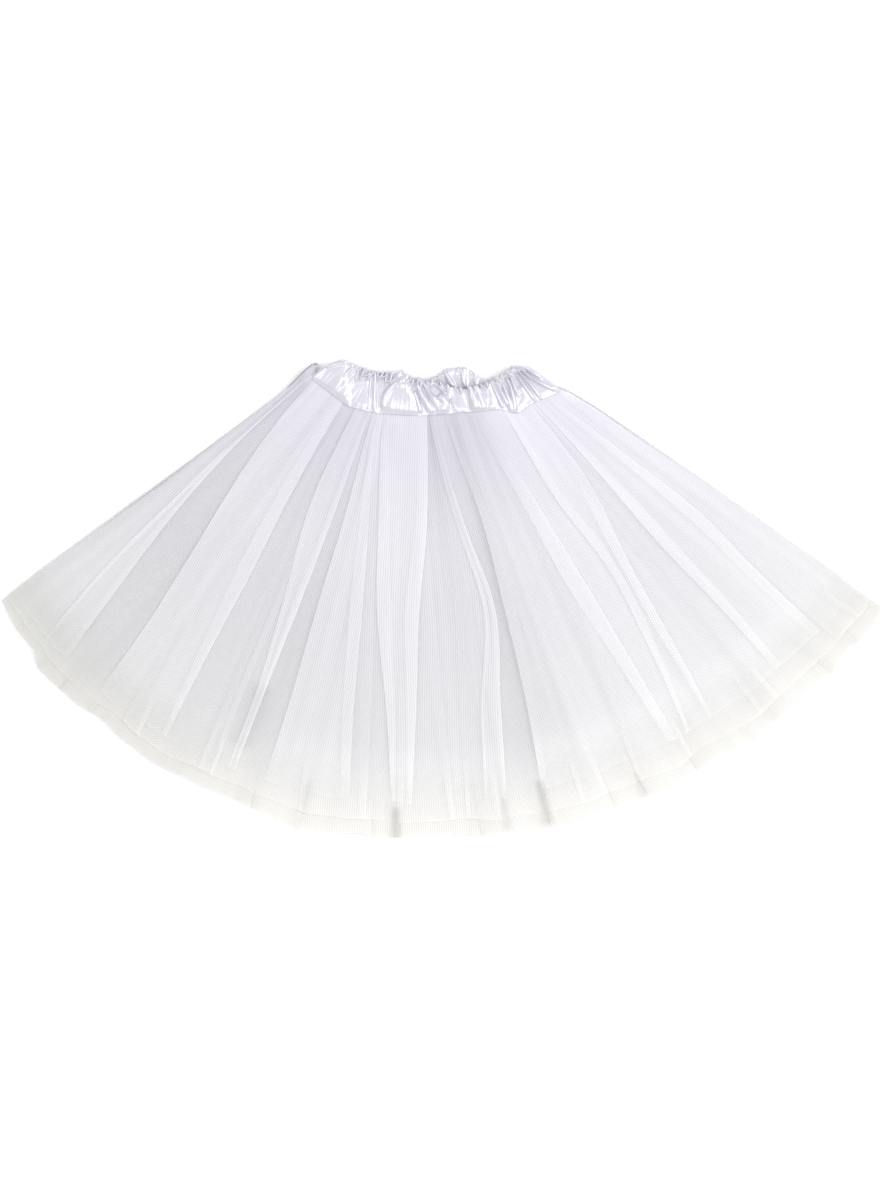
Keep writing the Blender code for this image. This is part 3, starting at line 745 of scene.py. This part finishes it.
def polyester_thread(name):
    """Two-ply sewing thread: matt, a little darker than the satin it pulls into.

    Its plies turn about every 0.35 mm, which is what the bands' scale gives.
    """
    material, tree = fresh_material(name)
    place_at = add(tree, "ShaderNodeTexCoord").outputs["Object"]
    plies = add(tree, "ShaderNodeTexWave",
                {"Vector": place_at, "Scale": 900.0, "Distortion": 1.0})
    shade = add(tree, "ShaderNodeMix",
                {0: plies.outputs["Fac"], 6: dyed("#C9C6D6"), 7: dyed("#ECEAF2")},
                data_type="RGBA")
    shader = add(tree, "ShaderNodeBsdfPrincipled",
                 {"Base Color": shade.outputs[2], "Roughness": 0.6})
    add(tree, "ShaderNodeOutputMaterial", {"Surface": shader})
    return material


def matt_white_paper(name):
    """Uncoated paper: even and without gloss, so only soft contact shadows show."""
    material, tree = fresh_material(name)
    shader = add(tree, "ShaderNodeBsdfPrincipled",
                 {"Base Color": dyed("#FDFDFD"), "Roughness": 0.9,
                  "Specular IOR Level": 0.1})
    add(tree, "ShaderNodeOutputMaterial", {"Surface": shader})
    return material


# ---------------------------------------------------------------- waistband

# Folds of the front satin, each a rounded swell of the cloth. Millimetres to the
# right of the pole, below it, and half width, at the fold's top, middle and foot; then
# its height and the share of it left at the foot
FOLDS = (
    (-67.9, 74.2, 18.1, -72.9, 84.0, 18.0, -76.8, 91.9, 16.8, 2.6, 1.0),
    (-63.8, 80.6, 4.1, -65.5, 90.5, 7.5, -66.4, 99.2, 9.0, 3.3, 1.0),
    (-58.4, 72.8, 2.2, -62.1, 77.4, 3.5, -65.5, 83.5, 2.3, 3.9, 0.5),
    (-78.7, 71.1, 2.0, -71.5, 69.0, 2.3, -64.7, 68.4, 2.0, 4.0, 1.0),
    (-52.6, 74.2, 1.7, -53.7, 80.3, 2.2, -56.5, 85.4, 1.3, 3.4, 0.4),
    (-48.7, 77.1, 1.2, -45.2, 78.6, 1.4, -41.8, 77.1, 1.2, 4.4, 1.0),
    (-35.7, 78.6, 1.2, -31.3, 80.3, 1.4, -27.3, 78.9, 1.2, 4.6, 1.0),
    (-63.5, 70.2, 1.7, -63.8, 74.5, 2.0, -66.4, 79.6, 1.3, 3.0, 0.3),
    (-45.0, 86.1, 3.6, -49.3, 96.3, 6.7, -51.9, 104.3, 8.4, 0.9, 1.0),
    (-41.2, 79.6, 1.2, -41.9, 93.4, 1.4, -42.8, 106.4, 1.4, 1.8, 0.6),
    (-37.4, 77.4, 1.6, -37.7, 93.4, 2.0, -37.8, 109.6, 2.5, 2.6, 1.0),
    (-13.9, 84.1, 5.2, -15.7, 97.7, 14.5, -14.8, 106.7, 17.1, 4.8, 1.0),
    (-19.7, 85.1, 1.7, -26.7, 93.1, 3.5, -29.9, 103.8, 3.2, 4.2, 1.0),
    (-7.2, 84.1, 2.0, -12.5, 87.0, 2.3, -17.7, 93.7, 1.7, 4.9, 0.5),
    (-2.6, 93.4, 2.0, -0.4, 100.6, 2.6, 2.0, 108.6, 2.9, 3.9, 1.0),
    (-21.5, 76.0, 2.9, -13.9, 75.7, 4.1, -7.7, 80.0, 2.9, 4.2, 1.0),
    (-0.4, 88.3, 2.0, 5.4, 98.5, 3.2, 11.9, 109.0, 4.1, 3.8, 1.0),
    (4.9, 86.4, 1.6, 13.3, 98.5, 3.5, 20.3, 108.2, 5.8, 3.3, 1.0),
    (8.7, 86.7, 1.3, 17.4, 87.9, 1.7, 23.8, 94.5, 1.9, 4.0, 1.0),
    (8.4, 90.5, 1.3, 13.3, 96.6, 1.7, 21.5, 98.9, 1.7, 3.7, 1.0),
    (20.3, 97.0, 3.8, 22.9, 103.5, 5.5, 20.6, 110.2, 5.8, 3.8, 1.0),
    (32.2, 90.5, 4.9, 34.4, 99.2, 7.3, 35.1, 107.9, 8.1, 1.1, 1.0),
    (28.6, 99.2, 1.0, 31.5, 104.3, 1.3, 34.4, 109.9, 1.3, 2.6, 1.0),
    (44.1, 84.7, 1.7, 47.3, 94.8, 3.8, 50.5, 105.3, 6.1, 4.4, 1.0),
    (49.9, 88.3, 1.7, 54.2, 97.0, 2.9, 57.1, 106.4, 3.8, 3.3, 1.0),
    (48.9, 82.9, 1.3, 51.6, 88.7, 1.6, 56.0, 94.0, 1.4, 4.4, 0.6),
    (61.2, 86.9, 3.2, 63.5, 96.3, 4.1, 64.4, 105.7, 4.6, 1.5, 1.0),
    (64.1, 84.4, 1.3, 68.7, 94.8, 1.9, 73.4, 104.3, 1.9, 2.4, 1.0),
    (69.2, 84.4, 1.3, 73.4, 94.1, 1.9, 77.4, 102.4, 1.9, 2.7, 1.0),
    (72.5, 82.9, 1.4, 78.0, 96.3, 2.3, 81.9, 111.9, 2.9, 3.2, 1.0),
    (78.0, 81.5, 1.4, 82.4, 94.8, 2.3, 85.0, 112.5, 2.9, 3.6, 1.0),
    (80.6, 80.0, 1.3, 84.7, 89.0, 2.2, 87.6, 95.7, 1.4, 4.3, 0.5),
    (90.2, 89.8, 3.5, 92.8, 98.0, 6.1, 92.8, 106.4, 6.4, 2.0, 1.0),
    (85.8, 77.4, 1.3, 93.4, 88.3, 2.0, 102.1, 100.3, 2.3, 3.8, 1.0),
    (88.7, 75.7, 1.2, 98.6, 86.9, 1.7, 107.0, 98.0, 1.9, 3.5, 1.0),
    (91.9, 74.8, 1.2, 105.0, 84.0, 1.9, 121.8, 91.3, 2.2, 3.8, 1.0),
    (96.3, 74.2, 1.3, 110.8, 81.1, 1.9, 127.3, 89.0, 1.9, 4.0, 1.0),
    (80.3, 72.5, 1.4, 88.7, 71.9, 1.7, 98.3, 72.8, 1.4, 4.4, 1.0),
    (-27.0, 82.7, 1.2, -23.6, 84.1, 1.4, -20.3, 81.2, 1.2, 4.6, 1.0),
    (-1.2, 84.1, 1.2, 2.3, 85.5, 1.4, 5.8, 82.7, 1.2, 4.6, 1.0),
    (11.3, 81.8, 1.2, 15.1, 84.1, 1.4, 18.6, 82.1, 1.2, 4.6, 1.0),
    (66.7, 81.2, 1.2, 70.8, 82.7, 1.4, 74.8, 79.5, 1.2, 4.4, 1.0),
)
# Tight ruffles that the elastic draws up: angle at the top edge, lean of the foot
# in degrees, height share of the foot, half width and height in mm
RUFFLES = (
    (-48.2, 2.2, 0.70, 2.8, 1.4), (-45.4, -3.9, 0.80, 1.8, 2.5), (-42.9, 1.9, 0.78, 2.6, 3.3),
    (-39.6, -2.6, 0.84, 1.5, 2.8), (-37.6, 2.4, 0.72, 2.1, 3.3), (-34.6, -2.8, 0.80, 1.4, 2.9),
    (-32.4, 1.4, 0.66, 1.8, 3.6), (-29.4, 2.0, 0.78, 1.4, 2.5), (-27.4, -1.9, 0.70, 1.7, 3.3),
    (-24.4, 2.0, 0.82, 1.5, 2.9), (-21.8, -1.6, 0.72, 1.8, 3.3), (-19.4, 2.2, 0.64, 1.7, 3.8),
    (-16.4, 1.1, 0.70, 2.0, 3.1), (-11.4, -2.2, 0.84, 3.0, 2.9), (-6.8, 1.4, 0.84, 2.8, 3.6),
    (-3.0, -3.0, 0.72, 1.6, 3.6), (-0.4, 2.7, 0.80, 1.3, 2.8), (2.0, -1.6, 0.70, 1.7, 3.6),
    (5.2, 1.8, 0.84, 1.8, 2.9), (8.6, -2.2, 0.78, 2.0, 3.7), (13.0, 2.2, 0.84, 1.5, 2.8),
    (16.6, -2.2, 0.70, 2.1, 3.1), (20.0, 2.2, 0.82, 1.5, 2.5), (22.6, -1.7, 0.74, 1.8, 3.3),
    (26.4, 1.8, 0.82, 1.4, 2.9), (29.0, -1.8, 0.70, 1.8, 3.3), (32.4, 2.2, 0.80, 1.5, 2.8),
    (35.2, -1.9, 0.84, 1.7, 3.3), (38.2, 1.9, 0.82, 1.4, 2.2), (40.8, -1.8, 0.76, 2.0, 2.9),
    (45.8, 1.9, 0.84, 2.1, 2.5), (50.4, 1.9, 0.84, 2.1, 1.6),
)
# The same for the inside of the back half, where it shows above the front's dip
INSIDE_FOLDS = (
    (24.7, 76.0, 2.3, 27.5, 82.1, 2.9, 31.5, 86.9, 1.7, 2.4, 1.0),
    (42.3, 71.9, 1.7, 40.0, 78.9, 3.2, 40.9, 86.1, 1.7, 2.7, 1.0),
    (49.0, 72.8, 1.4, 50.5, 77.4, 1.9, 49.0, 83.2, 1.2, 2.4, 1.0),
    (27.8, 74.0, 2.9, 35.1, 72.8, 2.9, 43.8, 72.4, 2.3, 1.4, 1.0),
)
MIRROR = 4.5                 # the back half's folds are the front's, turned about this
PRESSED = 0.3                # the back half's folds lie pressed by the weight above
SHOULDER = 4.5               # least width in mm over which a broad fold rounds off
EDGE_DIP = 0.0008            # the sewn lower edge is drawn in to the net by this much
TOP_INSET = 0.0030           # seam allowance of the fold over the elastic


def band_radius(angle, up, half):
    """Distance of the satin from the pole; half is 2 for the front, 3 for the back."""
    low = table_at(WAIST_LINE, angle, 1)
    top = table_at(WAIST_LINE, angle, half)
    return low - up * (low - top - TOP_INSET)


def fold_height(spots, fold):
    """Height in mm of one rounded fold at flat spots in mm from the pole."""
    keys = np.array(fold[:9]).reshape(3, 3)
    middle = 2 * keys[1] - (keys[0] + keys[2]) / 2
    along = np.linspace(0, 1, 13)[:, None]
    line = (1 - along) ** 2 * keys[0] + 2 * along * (1 - along) * middle + along ** 2 * keys[2]
    best = np.zeros(spots.shape[:2])
    for number, (first, second) in enumerate(zip(line[:-1], line[1:])):
        step = second[:2] - first[:2]
        part = np.clip(((spots - first[:2]) @ step) / (step @ step), 0, 1)
        apart = np.linalg.norm(spots - first[:2] - part[..., None] * step, axis=-1)
        wide = first[2] + part * (second[2] - first[2])
        # round over the shoulders, nearly flat between them, and lower toward the foot
        shoulder = np.minimum(wide, SHOULDER + 0.25 * wide)
        inward = np.clip((wide - apart) / shoulder, 0, 1)
        foot = smooth(((number + part) / 12 - 0.4) / 0.6)
        high = fold[9] * (1 - (1 - fold[10]) * foot)
        best = np.maximum(best, high * (1 - (1 - inward) ** 2) ** 0.8
                          * (1 - 0.2 * np.minimum(apart / wide, 1) ** 2))
    return best


def merged(spots, folds):
    """Height in mm of many folds, each running softly into the next."""
    return sum(fold_height(spots, fold) ** 5 for fold in folds) ** 0.2


def ruffle_fold(top, lean, foot, wide, high):
    """One ruffle as a fold in millimetres from the pole."""
    angle = np.array((top, top + lean * 0.3, top + lean))
    up = np.array((1.0, (1 + foot) / 2, foot))
    flat = mm_from_pole(angle, band_radius(angle, up, 2))
    widths = np.array((wide, wide * 0.9, wide * 0.5))[:, None]
    return (*np.concatenate((flat, widths), axis=1).ravel(), high, 0.2)


def mm_from_pole(angle, radius):
    """Millimetres to the right of the pole and below it."""
    turn = np.radians(angle)
    return 1000 * np.stack((radius * np.sin(turn), radius * np.cos(turn)), axis=-1)


def satin_rise(angle, up, half):
    """Outward height of the satin in metres over a grid of angles and shares."""
    pressed = PRESSED if half == 3 else 1.0
    if half == 3:
        angle = MIRROR - angle
    spots = mm_from_pole(angle, band_radius(angle, up, 2))
    folds = FOLDS + tuple(ruffle_fold(*row) for row in RUFFLES)
    turn = np.radians(angle)
    # the folds and a slow swell, then two runs of fine creases, in millimetres
    rise = 0.9 * merged(spots, folds) + 0.15 * np.sin(turn * 27 + 5 * up) + 0.3
    rise = rise + 0.05 * np.sin(turn * 150 + 4 * np.sin(turn * 9) + 3 * up)
    rise = rise + 0.03 * np.sin(turn * 233 + 5 * np.sin(turn * 5 + 2) - 4 * up)
    # all of it dies out at the sewn edge, where the cloth puckers instead
    lower = 1 - (1 - np.clip(up / 0.62, 0, 1)) ** 2.0
    pucker = 0.12 * np.abs(np.sin(turn * 88 + 2 * np.sin(turn * 19))) * (1 - lower)
    ends = smooth((angle - BAND_LEFT) / 2.0) * smooth((BAND_RIGHT - angle) / 2.0)
    return pressed * (rise * lower ** 0.8 + pucker) * ends / 1000


def hump_rise(angle, up):
    """Height in metres of the folds inside the back half, where it shows."""
    return merged(mm_from_pole(angle, band_radius(angle, up, 3)), INSIDE_FOLDS) / 1000


def satin_height(angle, up, half):
    """Height of the satin's outer face above the surface."""
    base = BAND_SWELL + HALF
    rise = satin_rise(angle, up, half) - EDGE_DIP * (1 - smooth(up / 0.18))
    return base + 9 * PITCH + rise if half == 2 else np.maximum(base - rise, FLOOR_GAP)


def casing_section(points=54):
    """Folded section of the satin: depth from the outer face, share up, crown, side.

    Its lower edge curls in to the net, where the seam holds it.
    """
    curl = ((0.030, 0.00040), (0.010, 0.00038), (0.0, 0.00030), (0.0, 0.00015),
            (0.010, 0.00004), (0.030, 0.0), (0.060, 0.0), (0.090, 0.0))
    up = np.concatenate(([part[0] for part in curl], np.linspace(0.12, 1, points),
                         np.ones(7), np.linspace(1, 0, 16)))
    turn = np.linspace(0, math.pi, 9)[1:-1]
    deep = 4 * PITCH
    outer = np.zeros(points + len(curl))
    under = np.concatenate(([part[1] for part in curl], np.zeros(points)))
    depth = np.concatenate((under, deep / 2 * (1 - np.cos(turn)), np.full(16, deep)))
    crown = np.concatenate((outer, 0.0016 * np.sin(turn), np.zeros(16)))
    outward = np.concatenate((outer + 1, np.linspace(1, 0, 9)[1:-1], np.zeros(16)))
    return depth, up, crown, outward


def band_half(half):
    """Grid of one half of the folded, gathered satin; rows run round the section."""
    columns = 640 if half == 2 else 360    # the front's creases are finer
    depth, up, crown, outward = casing_section()
    angle, share = np.meshgrid(np.linspace(BAND_LEFT + 1.8, BAND_RIGHT - 1.6, columns), up)
    edge = satin_rise(angle[:1], np.ones_like(angle[:1]), 2)
    radius = band_radius(angle, share, half) - crown[:, None] - 0.7 * edge * share ** 5
    outer = satin_height(angle, share, half)
    inner = BAND_SWELL + HALF + (5 if half == 2 else 4) * PITCH
    height = inner + (outer - inner) * (1 - depth[:, None] / depth.max())
    if half == 3:
        height = height + (1 - outward[:, None]) ** 2 * hump_rise(angle, share)
    return place(angle, radius, height)


def end_turn(first, second, edge, side, depth, up, crown, steps=10):
    """Rounded side fold of the band, from one half's last column to the other's."""
    turn = np.linspace(0, math.pi, steps + 2)[1:-1]
    radius = band_radius(np.full(len(up), edge), up, 2) - crown
    tip = place(edge - side * np.degrees(depth / radius), radius, 0.0)
    weight = ((1 - np.cos(turn)) / 2)[None, :, None]
    line = first[:, None] + (second - first)[:, None] * weight
    reach = tip - (first + second) / 2
    reach[:, 2] = 0
    return line + reach[:, None] * np.sin(turn)[None, :, None]


def waistband_grid():
    """Satin strip folded over the elastic and gathered, all round the waist."""
    depth, up, crown = casing_section()[:3]
    front = band_half(2)
    back = band_half(3)[:, ::-1]
    right = end_turn(front[:, -1], back[:, 0], BAND_RIGHT, 1, depth, up, crown)
    left = end_turn(back[:, -1], front[:, 0], BAND_LEFT, -1, depth, up, crown)
    return np.concatenate((front, right, back, left), axis=1)


# ----------------------------------------------------------------- stitches

def stitch_tree(material):
    """Node tree that lays stitches along a path: a small thread body at each step."""
    tree = bpy.data.node_groups.new("machine stitches", "GeometryNodeTree")
    face = tree.interface
    face.new_socket("Path", in_out="INPUT", socket_type="NodeSocketGeometry")
    for name, value in (("Stitch Spacing", 0.0026), ("Stitch Length", 0.0020),
                        ("Thread Radius", 0.00022)):
        socket = face.new_socket(name, in_out="INPUT", socket_type="NodeSocketFloat")
        socket.default_value = value
        socket.subtype = "DISTANCE"
    face.new_socket("Stitches", in_out="OUTPUT", socket_type="NodeSocketGeometry")
    start = add(tree, "NodeGroupInput")
    curve = add(tree, "GeometryNodeMeshToCurve", {0: start.outputs["Path"]})
    steps = add(tree, "GeometryNodeCurveToPoints",
                {"Curve": curve, "Length": start.outputs["Stitch Spacing"]}, mode="LENGTH")
    aim = add(tree, "FunctionNodeAlignRotationToVector",
              {"Vector": steps.outputs["Tangent"]}, axis="Z")
    body = add(tree, "GeometryNodeMeshUVSphere",
               {"Radius": start.outputs["Thread Radius"], "Segments": 6, "Rings": 5})
    half = add(tree, "ShaderNodeMath", {0: start.outputs["Stitch Length"], 1: 0.5},
               operation="MULTIPLY")
    longer = add(tree, "ShaderNodeMath", {0: half, 1: start.outputs["Thread Radius"]},
                 operation="DIVIDE")
    size = add(tree, "ShaderNodeCombineXYZ", {0: 1.0, 1: 1.0, 2: longer})
    thread = add(tree, "GeometryNodeTransform",
                 {"Geometry": body.outputs["Mesh"], "Scale": size})
    laid = add(tree, "GeometryNodeInstanceOnPoints",
               {"Points": steps.outputs["Points"], "Instance": thread, "Rotation": aim})
    real = add(tree, "GeometryNodeRealizeInstances", {0: laid})
    smooth_faces = add(tree, "GeometryNodeSetShadeSmooth", {0: real})
    finish = add(tree, "GeometryNodeSetMaterial", {0: smooth_faces, "Material": material})
    add(tree, "NodeGroupOutput", {0: finish})
    return tree


def stitched(name, paths, tree, sizes):
    """Plain mesh of the stitches along some paths of points."""
    spots, edges = [], []
    for path in paths:
        first = len(spots)
        spots.extend(path.tolist())
        edges.extend((first + n, first + n + 1) for n in range(len(path) - 1))
    mesh = bpy.data.meshes.new(name + "_path")
    mesh.from_pydata(spots, edges, [])
    guide = link_object(mesh.name, mesh)
    maker = guide.modifiers.new("stitches", "NODES")
    maker.node_group = tree
    for item in tree.interface.items_tree:
        if item.name in sizes:
            maker[item.identifier] = sizes[item.name]
    graph = bpy.context.evaluated_depsgraph_get()
    made = bpy.data.meshes.new_from_object(guide.evaluated_get(graph))
    guide.modifiers.remove(maker)
    bpy.data.objects.remove(guide)
    return link_object(name, made)


SEAM_UP = 0.055              # share of the casing's height where it is stitched through
STITCH_STAND = 0.0001        # the thread's middle lies this far above the satin


def seam_path(half):
    """Line of the stitch row on one half of the satin's outer face."""
    angle = np.linspace(BAND_LEFT + 2.2, BAND_RIGHT - 2.0, 420)[None]
    share = np.full_like(angle, SEAM_UP)
    height = satin_height(angle, share, half) + STITCH_STAND * (1 if half == 2 else -1)
    return place(angle, band_radius(angle, share, half), height)[0]


# --------------------------------------------------------------- properties

class TutuSettings(PropertyGroup):
    """Sizes and colours of the tutu."""

    net_width: FloatProperty(name="Net strip width", default=2.1, min=1.0, max=4.0,
                             unit="LENGTH", description="Width of each net strip as cut")
    mesh_mm: FloatProperty(name="Mesh size", default=2.0, min=0.5, max=6.0,
                           description="Drawn size of the net's meshes, in millimetres")
    mesh_contrast: FloatProperty(name="Mesh contrast", default=0.10, min=0.0, max=0.5,
                                 description="How much the threads stand out from the holes")
    cover: FloatProperty(name="Cover", default=0.40, min=0.1, max=0.9, subtype="FACTOR",
                         description="Share of the flat net that is thread")
    streaks: FloatProperty(name="Streaks", default=0.16, min=0.0, max=1.0, subtype="FACTOR",
                           description="How unevenly the net is gathered")
    fold_rise: FloatProperty(name="Pleat height", default=0.0005, min=0.0002, max=0.002,
                             unit="LENGTH", description="Height of the outer net's pleats")
    satin_roughness: FloatProperty(name="Satin roughness", default=0.26, min=0.0, max=1.0,
                                   subtype="FACTOR", description="Lower is glossier")
    stitch_spacing: FloatProperty(name="Stitch spacing", default=0.0027, min=0.001,
                                  max=0.02, unit="LENGTH",
                                  description="From one topstitch to the next")
    net_dye: FloatVectorProperty(name="Net dye", default=(1.0, 1.0, 1.0), min=0.0, max=1.0,
                                 subtype="COLOR", description="Tint of all three nets")
    satin_dye: FloatVectorProperty(name="Satin dye", default=(1.0, 1.0, 1.0), min=0.0,
                                   max=1.0, subtype="COLOR",
                                   description="Tint of the waistband")
    rows: IntProperty(name="Net rows", default=60, min=8, max=200,
                      description="Rows of mesh down each net layer")


# node, pleats in front and behind, length as cut, tones from the waist to the hem;
# the tones are the net's lavender white with painted shade, darker at the waist
# and on the lower layers
NETS = (
    ("tulle_outer", OUTER_FRONT, OUTER_BACK, 0.345,
     ("#DBDAE4", "#EBEAEF", "#EDEDEF", "#F4F4F2")),
    ("tulle_middle", MIDDLE_FRONT, MIDDLE_BACK, 0.360,
     ("#CECDD8", "#DBDADF", "#E5E4E7", "#F0EFEC")),
    ("tulle_inner", INNER_FRONT, INNER_BACK, 0.373,
     ("#CAC9D4", "#D7D6DB", "#E1E1E2", "#DDDCD8")),
)
SMALL_RISE = 0.0005          # pleat height of the middle and inner layers


class TUTU_OT_net(Operator):
    """Make the three net layers"""

    bl_idname = "tutu.net"
    bl_label = "Net layers"

    def execute(self, context):
        settings = context.scene.tutu
        for layer, (name, front, back, length, colours) in enumerate(NETS):
            rise = SMALL_RISE if layer else settings.fold_rise
            piece = net_layer("net_" + name, layer, front, back, rise, settings)
            piece.data.materials.append(
                soft_nylon_tulle("soft nylon " + name, settings, colours))
            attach(piece, "root")
            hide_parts(name)
        return {"FINISHED"}


class TUTU_OT_band(Operator):
    """Make the satin waistband"""

    bl_idname = "tutu.band"
    bl_label = "Waistband"

    def execute(self, context):
        name = "satin_waistband"
        piece = link_object(name, tube_mesh(name, waistband_grid()))
        piece.data.materials.append(
            polyester_satin("polyester satin", context.scene.tutu))
        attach(piece, "root")
        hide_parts("waistband")
        return {"FINISHED"}


class TUTU_OT_stitches(Operator):
    """Sew the waistband down"""

    bl_idname = "tutu.stitches"
    bl_label = "Topstitching"

    def execute(self, context):
        thread = polyester_thread("polyester thread")
        paths = [seam_path(2), seam_path(3)]
        piece = stitched("topstitching", paths, stitch_tree(thread),
                         {"Stitch Spacing": context.scene.tutu.stitch_spacing})
        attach(piece, "root")
        return {"FINISHED"}


FLOOR_REACH = 4.0            # from the middle of the floor to its edges
ROOM_LIGHT = 0.74            # strength of the even light from all sides
CAMERA_SPOT = (0.0019, -0.0012, 2.512)     # above the middle of the tutu
CAMERA_DISTANCE = 2.5        # to the middle height of the skirt
HEIGHT_SEEN = 1.044          # what the picture's height takes in at that distance
SENSOR_MM = 24.0
# name, place, watts and width of each soft lamp
LAMPS = (
    ("low", (0.4, -0.85, 1.95), 13.0, 1.1),
    ("right", (1.5, 0.45, 1.8), 26.0, 1.15),
    ("left", (-1.4, 0.4, 1.9), 11.0, 1.15),
)


class TUTU_OT_stage(Operator):
    """Make the floor, lights and camera"""

    bl_idname = "tutu.stage"
    bl_label = "Stage"

    def execute(self, context):
        scene = context.scene
        mesh = bpy.data.meshes.new("floor")
        reach = FLOOR_REACH
        mesh.from_pydata([(-reach, -reach, 0), (reach, -reach, 0), (reach, reach, 0),
                          (-reach, reach, 0)], [], [(0, 1, 2, 3)])
        mesh.materials.append(matt_white_paper("matt white paper"))
        link_object("floor", mesh)
        world = bpy.data.worlds.new("soft room")
        world.use_nodes = True
        light = world.node_tree.nodes["Background"].inputs
        light["Color"].default_value = dyed("#FFFFFF")
        light["Strength"].default_value = ROOM_LIGHT
        scene.world = world
        for name, spot, power, width in LAMPS:
            data = bpy.data.lights.new(name, "AREA")
            data.energy = power
            data.size = width
            lamp = link_object(name, data)
            lamp.location = spot
            lamp.rotation_euler = Vector(spot).to_track_quat("Z", "Y").to_euler()
        data = bpy.data.cameras.new("camera")
        data.sensor_fit = "VERTICAL"
        data.sensor_height = SENSOR_MM
        data.lens = SENSOR_MM * CAMERA_DISTANCE / HEIGHT_SEEN
        camera = link_object("camera", data)
        camera.location = CAMERA_SPOT
        scene.camera = camera
        scene.view_settings.view_transform = "Standard"
        scene.cycles.transparent_max_bounces = 64
        return {"FINISHED"}


class TUTU_PT_panel(Panel):
    """Lists the steps that make the tutu"""

    bl_label = "Tutu"
    bl_space_type = "VIEW_3D"
    bl_region_type = "UI"
    bl_category = "Tutu"

    def draw(self, context):
        settings = context.scene.tutu
        for name in settings.bl_rna.properties.keys():
            if name not in {"rna_type", "name"}:
                self.layout.prop(settings, name)
        for operator in OPERATORS:
            self.layout.operator(operator.bl_idname)


OPERATORS = (TUTU_OT_net, TUTU_OT_band, TUTU_OT_stitches, TUTU_OT_stage)
CLASSES = (TutuSettings, *OPERATORS, TUTU_PT_panel)


def register():
    """Add the classes and the scene's settings to Blender."""
    for kind in CLASSES:
        bpy.utils.register_class(kind)
    bpy.types.Scene.tutu = PointerProperty(type=TutuSettings)


def unregister():
    """Take them out again."""
    del bpy.types.Scene.tutu
    for kind in reversed(CLASSES):
        bpy.utils.unregister_class(kind)


def main():
    """Make every piece in order."""
    register()
    bpy.ops.tutu.net()
    bpy.ops.tutu.band()
    bpy.ops.tutu.stitches()
    bpy.ops.tutu.stage()


if __name__ == "__main__":
    main()
